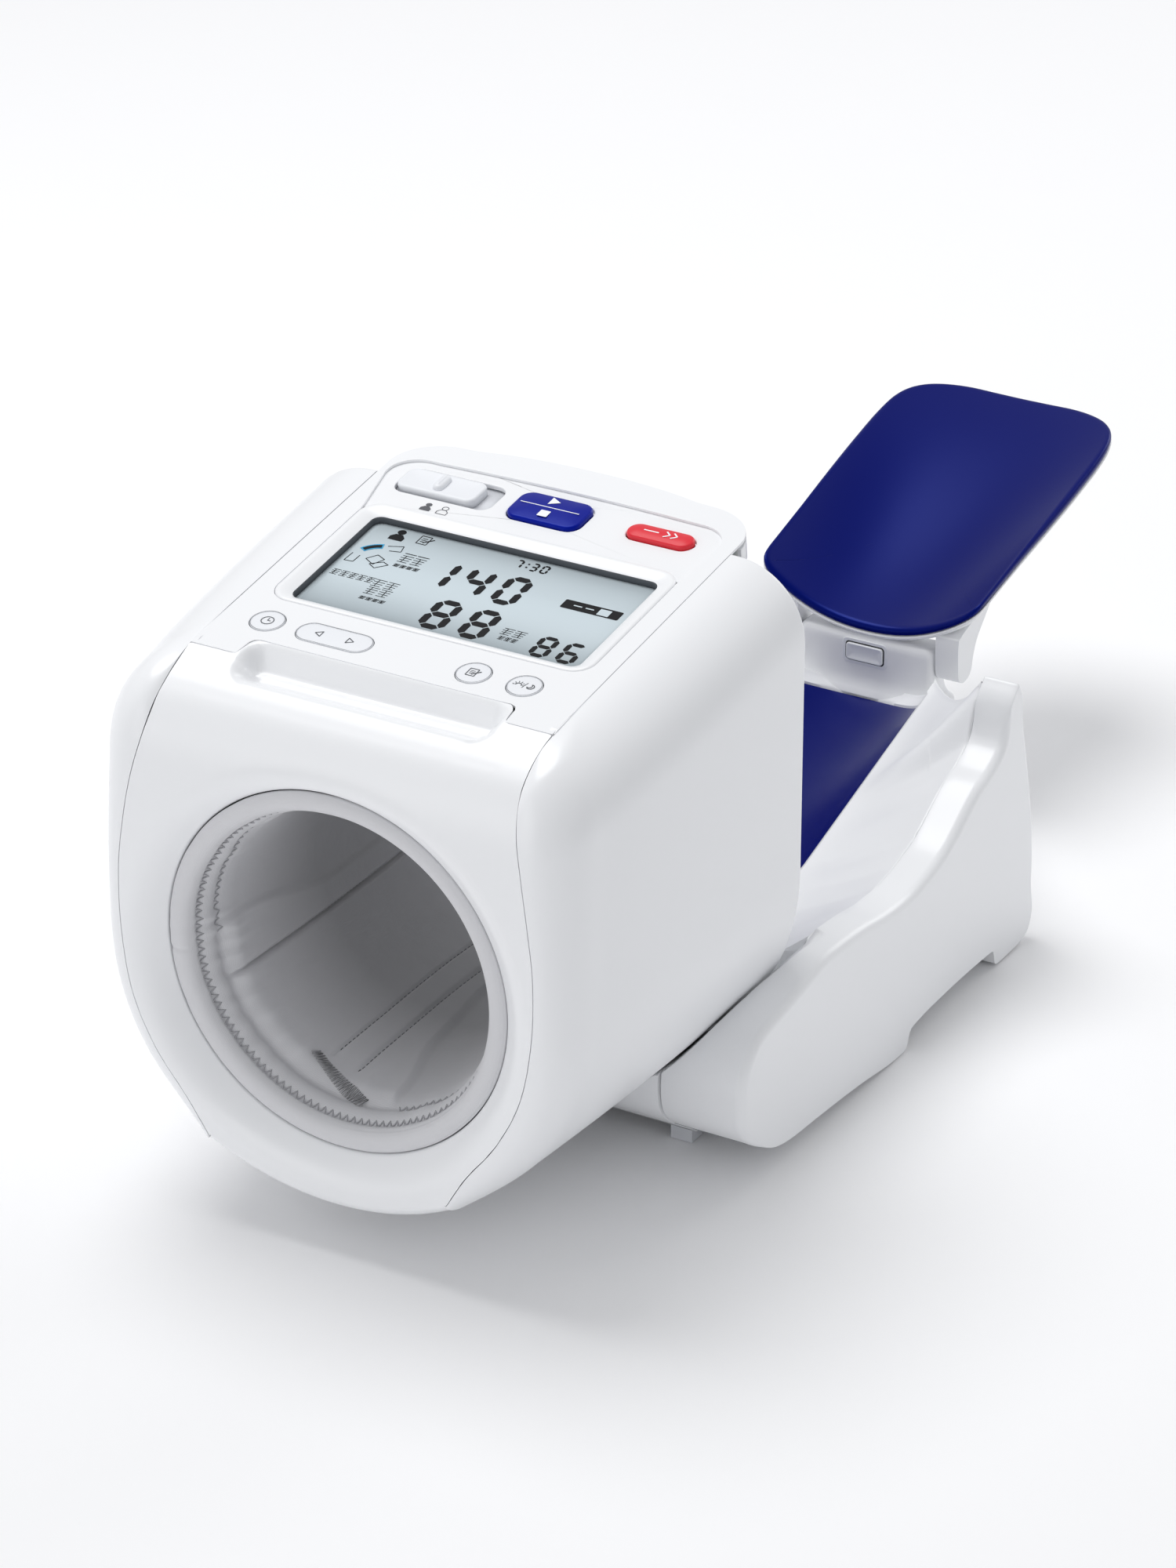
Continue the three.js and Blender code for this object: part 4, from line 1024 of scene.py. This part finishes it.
lip_profile = curve_through(LIP, LIP_T)
turns, along = np.meshgrid(np.arange(0, 360, 0.6), np.arange(len(lip_profile)), indexing="ij")
cuff_rows = cuff_point(turns, lip_profile[along, 1], lip_profile[along, 0])
cuff_mesh = grid_mesh("cuff_sleeve", cuff_rows.tolist(), ring=True)
face_outward(cuff_mesh, (0, 75, BORE_Z))
cuff = body_piece("cuff_sleeve", cuff_mesh, "drum", grey_cloth, ["cuff_liner"])
pad_wall = cuff.modifiers.new("padding", "SOLIDIFY")
pad_wall.thickness, pad_wall.offset = 1.2 * MM, 1
print("cuff sleeve:", len(cuff_mesh.vertices), "points")

# %% Stitches


def depth_radius(y):
    """The profile's plain radius at depth y, past the lip's front."""
    return float(np.interp(y, lip_profile[14:-12, 1], lip_profile[14:-12, 0]))


def threads(name, paths, thick, look, sides=5, body="drum"):
    points, faces = [], []
    around = np.arange(sides) * 2 * math.pi / sides
    for path in paths:
        path = np.array(path)
        first = len(points)
        run = np.gradient(path, axis=0)
        run /= np.linalg.norm(run, axis=1)[:, None] + 1e-12
        side = np.cross(run, (0.03, 1, 0.02))
        side /= np.linalg.norm(side, axis=1)[:, None] + 1e-9
        rise = np.cross(run, side)
        for p, a, b in zip(path, side, rise):
            points += [tuple(p + thick * (a * math.cos(k) + b * math.sin(k))) for k in around]
        faces += loft_faces(len(path), sides, first)
        faces.append(tuple(first + k for k in range(sides))[::-1])
        faces.append(tuple(first + (len(path) - 1) * sides + k for k in range(sides)))
    mesh = mesh_of(name, points, faces)
    tidy_normals(mesh, 0.0005)
    return body_piece(name, mesh, body, look)


def zigzag(start, stop, depth, reach, pitch, lift=0.25):
    """One thread zigzagging around the bore between two depths, dipping into the cloth at each corner."""
    path, angle, flip = [], start, 1
    while angle < stop:
        for f in (0, 0.2, 0.5, 0.8):
            at = angle + pitch * f
            y = depth + reach * flip * (1 - 2 * f)
            path.append(cuff_point(at, y, depth_radius(y), lift - 0.5 * (2 * f - 1) ** 2 * lift * 2.2))
        angle, flip = angle + pitch, -flip
    return path


def running(angle, start, stop, stitch=2.0, gap=0.7, lift=0.12):
    """A row of separate stitches along the bore."""
    rows, y = [], start
    while y < stop:
        rows.append([cuff_point(angle, y + stitch * f, depth_radius(y + stitch * f),
                                lift - 0.4 * abs(2 * f - 1) ** 3)
                     for f in np.linspace(0, 1, 6)])
        y += stitch + gap
    return rows


threads("lip_stitch", [zigzag(0, 360, 4.5, 1.45, 1.45)], 0.3, pale_thread)
threads("hem_stitch", [zigzag(286, 544, 13.2, 1.3, 1.55)], 0.28, pale_thread)
threads("wrap_seam_stitch", running(202.5, 15, 138, 1.5, 0.6, -0.5), 0.3, thread)
threads("band_stitch", running(249.5, 32, 138) + running(261.5, 26, 138), 0.26, thread)
tack = []
for k in range(84):
    f = k / 83
    middle, y, swing = 244 + 28 * f, 22.5 - 9.5 * f, (-1) ** k
    tack.append(cuff_point(middle + 1.2 * swing, y + 1.7 * swing, depth_radius(y + 1.7 * swing),
                           0.35 + 0.15 * math.sin(k * 1.7)))
threads("tack_stitch", [tack], 0.3, pale_thread)
print("stitches made")

# %% [markdown]
# ## Back of the drum
# The back is one white panel set inside the covers' rear edge. It leans back towards the top, and a
# rounded collar around the bore holds the end of the sleeve.

# %% Rear panel


def lean(z):
    return float(np.interp(z, (20, 60, 214.4), (146, 158, 178.5)))


COLLAR_R, FACE_TOP, LEAN_FROM, CORNER_R = 78.5, 214, 149, 3
COLLAR = [
    (COLLAR_R, 0), (76.6, 0.2), (75.4, -0.4), (74.8, -1.6), (74.6, -4), (74.6, -9), (74.6, -24),
]
rear_rows = []
for angle in np.linspace(-math.pi, math.pi, 241)[:-1]:
    reach = drum_radius(mirrored(angle), 150) - 3.2
    c, s = math.cos(angle), math.sin(angle)
    depth = lean(min(BORE_Z + reach * s, FACE_TOP))
    pulled = reach - 0.66 * max(depth - LEAN_FROM, 0)
    row = [(reach, -depth + 132), (reach, -depth + 146)]
    for f in np.linspace(0, math.pi / 2, 7):
        left = 1 - math.sin(f)
        row.append((pulled - CORNER_R + CORNER_R * math.cos(f) + (reach - pulled) * left**2,
                    -CORNER_R + CORNER_R * math.sin(f) - (depth - LEAN_FROM) * left))
    for f in (0.25, 0.5, 0.75):
        row.append((pulled - CORNER_R + (COLLAR_R - pulled + CORNER_R) * f, 0.25 * math.sin(math.pi * f)))
    points = []
    for r, back in row + COLLAR:
        z = BORE_Z + r * s
        points.append((r * c, max(lean(min(z, FACE_TOP)) + back, 130), min(z, panel_top(160) - 6)))
    rear_rows.append(points)
rear_mesh = grid_mesh("rear_skin", rear_rows, ring=True)
tidy_normals(rear_mesh)
rear = body_piece("rear_skin", rear_mesh, "drum", white_gloss, ["rear_panel"])
rear_wall = rear.modifiers.new("wall", "SOLIDIFY")
rear_wall.thickness, rear_wall.offset = 1.4 * MM, -1
print("rear panel:", len(rear_mesh.vertices), "points")

# %% [markdown]
# ## The cradle base
# Two side shells stand like runners along the base. Their outline dips behind the drum and climbs to a
# peak at the back. Between them lies the upper case with its elbow trough, and a navy insert lines the
# trough. The drum tilts between the noses, so their inner faces are hollowed to leave it room to swing.
# Points below are (Y, Z) on the shell's outer face, from the rear peak forwards, round and back.

# %% Side shell outline
SIDE = [
    (314, 118), (307.5, 111), (303, 97), (293, 90.5), (280, 86), (259, 74), (243, 69), (226, 66.5),
    (208, 67.5), (192, 70), (175, 71.6), (157, 72), (135, 68), (118, 65.5), (106.5, 62.5),
    (99.5, 57), (95.8, 51), (94.2, 44), (94.2, 35), (96.2, 28.5), (101, 22.5), (109, 16.4),
    (119, 11.6), (132, 8.7), (152, 7.2), (172, 5.6), (190, 3.8), (206, 1.6), (215, 0.7), (222, 0.6),
    (225.2, 1.0), (226.4, 2.6), (227.2, 5.0), (228.4, 7.0), (231, 8.2), (242, 9.2), (258, 9.6),
    (274, 9.6), (288, 9.2), (296, 8.8), (298.4, 8.5), (299.4, 7.6), (300, 5.6), (300.6, 3.0),
    (301.6, 1.6), (304, 1.0), (313, 0.9), (324, 1.4), (330.5, 4.4), (333.2, 12), (334, 24),
    (334, 35), (332.6, 50), (329, 68), (324, 88), (319.6, 104), (317.6, 112),
]
TILT_AXIS = (130.0, 40.0)
SHELL_IN, SHELL_OUT = 97.0, 112.0
NOSE_IN = 78.0

closed = SIDE + SIDE[:1]
side_line = curve_through(closed, np.linspace(0, 1, 441)[:-1])
band = sorted([p for p in SIDE[:14]], key=lambda p: p[0])


def band_top(y):
    return float(np.interp(y, [p[0] for p in band], [p[1] for p in band]))


TILTS = np.radians(np.linspace(-0.5, 15.3, 9))


def drum_clearance(y, z):
    """Half width the drum needs at this height, over all its tilts."""
    need = 0.0
    for tilt in TILTS:
        dy, dz = y - TILT_AXIS[0], z - TILT_AXIS[1]
        back = TILT_AXIS[0] + dy * math.cos(tilt) - dz * math.sin(tilt)
        drop = BORE_Z - TILT_AXIS[1] - dy * math.sin(tilt) - dz * math.cos(tilt)
        skin = drum_radius(-math.asin(min(max(drop, 0) / 107, 1)), back) + 0.8
        if back > -30 and skin > drop:
            need = max(need, (1 - float(smooth(164, 190, back))) * math.sqrt(skin**2 - drop**2))
    return need


def shell_inner(y, z):
    nose = NOSE_IN if z > 9.9 else SHELL_IN
    inner = nose + (SHELL_IN - nose) * float(smooth(148, 153, y))
    return min(max(inner, drum_clearance(y, z)), SHELL_OUT - 7)


def side_shell(side):
    rings, edge = [], 3.6
    inner_line = inset(side_line, 0.6)
    rings.append([(shell_inner(*p), *p) for p in inner_line])
    rings.append([(shell_inner(*p) + 0.5, *p) for p in side_line])
    for f in (0.3, 0.65):
        rings.append([(shell_inner(*p) + (SHELL_OUT - edge - shell_inner(*p)) * f, *p) for p in side_line])
    softness = [float(smooth(10, 26, z)) * (1 - 0.8 * float(smooth(96, 112, z))) for _, z in side_line]
    crisp = np.array(softness)[:, None]
    for f in np.linspace(0, math.pi / 2, 9):
        full = np.array(inset(side_line, edge * (1 - math.cos(f))))
        ring = np.array(side_line) + (full - np.array(side_line)) * crisp
        rings.append([(SHELL_OUT - edge + edge * math.sin(f), *p) for p in ring])
    count = len(side_line)
    points = [(side * p[0], p[1], p[2]) for ring in rings for p in ring]
    faces = loft_faces(len(rings), count)
    faces.append(tuple(range((len(rings) - 1) * count, len(rings) * count)))
    faces.append(tuple(range(count))[::-1])
    mesh = mesh_of("side_shell_skin", points, faces)
    with reshaping(mesh) as work:
        caps = [f for f in work.faces if len(f.verts) > 4]
        bmesh.ops.triangulate(work, faces=caps, ngon_method="EAR_CLIP")
        bmesh.ops.recalc_face_normals(work, faces=work.faces)
    name = "right" if side > 0 else "left"
    shell = body_piece(f"runner_{name}", mesh, "base", white_gloss, [f"side_shell_{name}"])
    even_shading(shell)
    return shell


for side in (1, -1):
    side_shell(side)
print("side shells made")

# %% Cradle under the drum
CRADLE_IN, CRADLE_OUT, CRADLE_FLOOR, CRADLE_REAR, FILLET_REAR = 45.0, 96.6, 10.0, 169.0, 192
nose = sorted([p for p in side_line if p[0] < 135 and p[1] < 46], key=lambda p: p[1])


def cradle_top(x, y):
    """Highest point at which the cradle's hollow still clears the drum."""
    skin = drum_radius(-math.acos(x / 105), y) + 2.0
    low = BORE_Z - math.sqrt(skin**2 - x**2) - TILT_AXIS[1]
    free = TILT_AXIS[1] + float(np.min((low - (y - TILT_AXIS[0]) * np.sin(TILTS)) / np.cos(TILTS)))
    filled = free + (max(free, band_top(y) - 1.5) - free) * float(smooth(165, 171, y))
    cover = 1.5 + 9 * (1 - float(smooth(100, 122, y)))
    return min(filled, band_top(y) - cover)


def nose_front(z):
    return float(np.interp(z, [p[1] for p in nose], [p[0] for p in nose]))


def cradle(side):
    slices = []
    for x in list(np.linspace(CRADLE_IN, CRADLE_OUT, 56)) + [96.7, 98.5, 100.5, 102.5]:
        setback = 2.5 if x > 77.4 else 0
        rear = FILLET_REAR if x > CRADLE_OUT else CRADLE_REAR
        high = min(max(cradle_top(x, 100), CRADLE_FLOOR + 0.6), 44)
        front = [(side * x, nose_front(z) + setback, z) for z in np.linspace(CRADLE_FLOOR, high, 20)]
        tip = front[-1][1]
        along_y = np.linspace(tip, rear, 44)[1:]
        top = [(side * x, y, max(cradle_top(x, y), CRADLE_FLOOR + 0.5)) for y in along_y]
        slices.append(front + top + [(side * x, rear, CRADLE_FLOOR)])
    width = len(slices[0])
    points, faces = [p for row in slices for p in row], loft_faces(len(slices), width)
    faces += [tuple(range(width)), tuple(range((len(slices) - 1) * width, len(slices) * width))[::-1]]
    mesh = mesh_of("cradle_hollow", points, faces)
    tidy_normals(mesh)
    name = "right" if side > 0 else "left"
    hollow = body_piece(f"cradle_hollow_{name}", mesh, "base", white_gloss,
                        [f"cradle_{name}"])
    round_edges(hollow, 0.3, 60)
    return hollow


for side in (1, -1):
    cradle(side)
NOSE_SEAM_Z = 19.5
seam_run = [(x, NOSE_SEAM_Z) for x in np.linspace(78.4, 104.6, 14)]
seam_run += [(106.6, 19.1), (107.8, 18.1), (108.3, 16.6), (108.4, 14.8)]
seams = [[(side * x, nose_front(z) - 0.03, z) for x, z in seam_run] for side in (1, -1)]
threads("nose_seam", seams, 0.14, seam_grey, body="base")

# %% Upper case with the elbow trough
CASE_FRONT, CASE_SIDE, TROUGH = 170.0, 96.6, 45.0


def trough_lip(y):
    return 44 - 0.1 * (265 - y) if y < 265 else 44 + 0.293 * (y - 265)


def trough_z(x, y):
    lip, a = trough_lip(y), abs(x)
    deep = min(24 if y < 240 else 24 + 25 * ((y - 240) / 160) ** 1.15, lip - 6)
    if a <= TROUGH:
        arch = (1 - math.sqrt(1 - (0.96 * a / TROUGH) ** 2)) / (1 - math.sqrt(1 - 0.96**2))
        return deep + (lip - deep) * arch
    high = max(band_top(min(y, 314)) - 1.2, lip + 2)
    return lip + (high - lip) * ((a - TROUGH) / 52) ** 1.25


def insert_rear(x):
    return 400 - 31 * (x / TROUGH) ** 2


def case_rear(x):
    return 410 - 31 * (x / TROUGH) ** 2 if abs(x) < 46 else 377.6 - 1.25 * (abs(x) - 46)


def case_floor(y):
    return 10.6 if y < 326 else 11.4 + 0.3217 * (y - 326)


case_x = np.unique(np.round(np.concatenate([np.linspace(-CASE_SIDE, CASE_SIDE, 121),
                                            (-45.5, -45.1, 45.1, 45.5)]), 3))
case_rows = []
for x in case_x:
    rear_y, row = case_rear(x), []
    stations = np.unique(np.concatenate([np.linspace(CASE_FRONT, rear_y - 3, 110),
                                         (186.1, 186.5, min(insert_rear(x) + 0.4, rear_y - 3.4),
                                         min(insert_rear(x) + 0.8, rear_y - 3.1))]))[-112:]
    while len(stations) < 112:
        stations = np.insert(stations, 1, (stations[0] + stations[1]) / 2)
    for y in stations:
        sunk = 2.9 if abs(x) < 45.3 and 186.3 < y < insert_rear(x) + 0.6 else 0
        if y == stations[0]:
            row += [(x, y - 0.25 * (trough_z(x, y) - z), z) for z in (12, 20)]
        row.append((x, y, trough_z(x, y) - sunk))
    top = trough_z(x, rear_y)
    for f in np.linspace(0, math.pi / 2, 7)[1:]:
        row.append((x, rear_y - 3 + 3 * math.sin(f), top - 3 * (1 - math.cos(f))))
    low = case_floor(rear_y)
    for f in (0.3, 0.65, 1.0):
        row.append((x, rear_y, top - 3 + (low - top + 3) * f))
    case_rows.append(row)
case_mesh = grid_mesh("case_skin", case_rows)
face_outward(case_mesh, (0, 300, -60))
upper = body_piece("case_skin", case_mesh, "base", white_gloss, ["upper_case"])
add_wall(upper, 2.2, 0)
even_shading(upper)

# %% Navy insert
insert_rows = []
for x in np.linspace(-44.7, 44.7, 91):
    insert_rows.append([(x, y, trough_z(x, y) - 0.3) for y in np.linspace(186.8, insert_rear(x), 90)])
lining = grid_mesh("elbow_lining", insert_rows)
face_outward(lining, (0, 300, -60))
lining_piece = body_piece("elbow_lining", lining, "base", navy_gloss, ["elbow_insert"])
add_wall(lining_piece, 2.2, 0.55)
print("case and insert made")

# %% [markdown]
# ## The folding arm rest
# A navy gutter-shaped pad lies on a white tray. Two lugs under the tray hang on a hinge pin in the
# bracket at the back of the base, and a concave latch button sits in the bracket's front face.

# %% Rest outline and surface
REST_HALF = [
    (0, 545.4), (12, 545.3), (24, 544.6), (34, 542), (42, 537.6), (47.6, 531), (50.6, 522),
    (51.8, 510), (52, 496), (51.9, 480), (51.4, 460), (50.7, 440), (50.3, 422), (50, 411),
    (49, 406.4), (46, 404.2), (40, 403.7), (26, 403.6), (0, 403.6),
]
REST_TILT = math.radians(13)


def rest_top(x, y):
    sag = 15 * (1 - float(smooth(403, 545, y))) + 4
    return 98.8 + (y - 403) * math.tan(REST_TILT) - sag * (1 - min(1, abs(x) / 50) ** 2.2)


half_line = curve_through(REST_HALF, np.linspace(0, 1, 110))
rest_line = np.array([tuple(p) for p in half_line] + [(-p[0], p[1]) for p in half_line[-2:0:-1]])
REST_MIDDLE = np.array((0, 474.0))


def rest_form(name, line, layers, fill_rows, body, look, nodes):
    """A closed sheet: layers are (inset, drop) rings from the underside's edge up and over to the top."""
    rings = []
    inner, drop = inset(line, layers[0][0]), layers[0][1]
    for f in np.linspace(0, 1, fill_rows)[1:]:
        ring = REST_MIDDLE + (inner - REST_MIDDLE) * f
        rings.append([(x, y, rest_top(x, y) - drop) for x, y in ring])
    for distance, drop in layers[1:]:
        ring = inset(line, distance)
        rings.append([(x, y, rest_top(x, y) - drop) for x, y in ring])
    inner, drop = inset(line, layers[-1][0]), layers[-1][1]
    for f in np.linspace(1, 0, fill_rows)[1:-1]:
        ring = REST_MIDDLE + (inner - REST_MIDDLE) * f
        rings.append([(x, y, rest_top(x, y) - drop) for x, y in ring])
    count = len(line)
    points, faces = [p for ring in rings for p in ring], loft_faces(len(rings), count)
    for first, y_drop in ((0, layers[0][1]), ((len(rings) - 1) * count, layers[-1][1])):
        points.append((0, REST_MIDDLE[1], rest_top(0, REST_MIDDLE[1]) - y_drop))
        for k in range(count):
            faces.append((first + k, first + (k + 1) % count, len(points) - 1))
    mesh = mesh_of(name, points, faces)
    tidy_normals(mesh)
    return body_piece(name, mesh, body, look, nodes)


PAD_LAYERS = [
    (1.2, 3.1), (0.5, 3.1), (0.15, 2.9), (0, 2.4), (0, 1.7), (0.15, 1.05), (0.5, 0.5), (1.1, 0.15),
    (1.9, 0), (3.0, 0), (4.2, 0),
]
rest_form("rest_gutter", rest_line, PAD_LAYERS, 30, "arm_rest", navy_gloss, ["rest_pad"])
TRAY_LAYERS = [
    (7, 7.6), (3.4, 6.7), (1.5, 6.0), (0.35, 5.0), (-0.1, 4.3), (-0.1, 3.9), (0.2, 3.6), (0.9, 3.4),
    (3, 3.4),
]
rest_form("rest_tray", rest_line, TRAY_LAYERS, 24, "arm_rest", white_gloss, ["rest_shell"])

# %% Lugs, bracket and latch


def in_side(p):
    return place((p[2], p[0], p[1]))


LUG = [
    (404.3, 66), (405.6, 63.2), (408.4, 61.5), (411.6, 61.4), (414.6, 62.6), (416.6, 65.4),
    (417.6, 70), (421, 77), (428, 84), (432, 88.6), (430, 90), (418, 86.6), (405.6, 83),
    (403.9, 80.6), (403.7, 74),
]
LUG_IN, LUG_OUT = 31.6, 42.0           # the two faces of a lug, from the middle
lug_line = [tuple(p) for p in curve_through(LUG + LUG[:1], np.linspace(0, 1, 71)[:-1])]
for side, name in ((1, "right"), (-1, "left")):
    low, high = sorted((side * LUG_IN, side * LUG_OUT))
    lug = plate(f"rest_lug_{name}", [lug_line], low, high, in_side)
    piece = body_piece(f"rest_lug_{name}", lug, "arm_rest", white_gloss)
    round_edges(piece, 1.2, 40, 4)

BRACKET_LEVELS = (
    (49.6, 4.6), (50.6, 4.2), (52, 2.6), (54, 1.2), (57, 0.35), (61, 0), (66, 0), (70, 0.1),
    (72.2, 0.0), (73.6, -0.7), (74.4, -1.8), (74.7, -3.4),
)
HINGE_Y = 409.8                        # middle of the bracket
bracket_rows = []
for z, grow in BRACKET_LEVELS:
    loop = round_box(0, HINGE_Y, 61.2 + 2 * grow, 13.0 + 1.6 * grow, min(3.2 + max(grow, -1) * 0.6, 6))
    bracket_rows.append([(x, y, z) for x, y in loop])
bracket_mesh = grid_mesh("hinge_tower", [list(c) for c in zip(*bracket_rows)], ring=True)
with reshaping(bracket_mesh) as work:
    top_rim = [e for e in work.edges if e.is_boundary and e.verts[0].co.z > 70 * MM]
    bmesh.ops.contextual_create(work, geom=top_rim)
    bmesh.ops.recalc_face_normals(work, faces=work.faces)
body_piece("hinge_tower", bracket_mesh, "base", white_gloss, ["hinge_bracket"])
face_outward(bracket_mesh, (0, HINGE_Y, 60))


BRACKET_FACE_Y, LATCH_Z = 403.2, 67


def on_front(p):
    """Latch coordinates: x across, z up, w out of the bracket's front face."""
    return place((p[0], BRACKET_FACE_Y - p[2], p[1]))


surround = plate("latch_surround",
                 [round_box(0, LATCH_Z, 20.6, 11.2, 2.4), round_box(0, LATCH_Z, 17.6, 8.4, 1.6)], -0.6, 0.15,
                 on_front)
surround_piece = body_piece("latch_surround", surround, "base", white_satin)
round_edges(surround_piece, 0.25, 40)
body_piece("latch_gap", plate("latch_gap", [round_box(0, LATCH_Z, 18.4, 9.2, 1.8)], -0.5, 0.02, on_front),
           "base", black_plastic)
latch = key_cap("latch_cap", round_box(0, LATCH_Z, 16.6, 7.4, 1.4), 0.06, 1.0, 0.45, -0.6, on_front)
body_piece("latch_cap", latch, "latch", white_satin, ["latch_button"])
print("arm rest, bracket and latch made")

# %% [markdown]
# ## Small and inner parts
# The lower case, the battery door, feet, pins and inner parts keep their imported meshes. Their edges are
# softened and each takes its own finish.

# %% Kept parts
KEPT = {
    "lower_case": (white_gloss, 0.6), "battery_door": (white_satin, 0.3),
    "arm_tube": (white_inner, 0.3), "main_board": (board_green, 0.1), "cuff_bladder": (rubber, 0.2),
    "cuff_band": (black_plastic, 0.2), "exhaust_valve": (steel, 0.4),
    "pressure_sensor": (black_plastic, 0.3), "air_pump": (steel, 0.6),
    "tilt_pin_right": (white_inner, 0.3), "tilt_pin_left": (white_inner, 0.3),
    "air_hose": (rubber, 0.1), "battery_cell_1": (steel, 0.5), "battery_cell_2": (steel, 0.5),
    "battery_cell_3": (steel, 0.5), "battery_cell_4": (steel, 0.5),
    "foot_front_right": (white_inner, 0.8), "foot_front_left": (white_inner, 0.8),
    "foot_rear_right": (rubber, 0.8), "foot_rear_left": (rubber, 0.8), "hinge_pin": (steel, 0.3),
    "power_inlet": (black_plastic, 0.4),
}
for node, (look, edge) in KEPT.items():
    kept = bpy.data.objects[node]
    kept.data.materials.clear()
    kept.data.materials.append(look)
    round_edges(kept, edge, 35, 3)
print(len(KEPT), "kept parts finished")
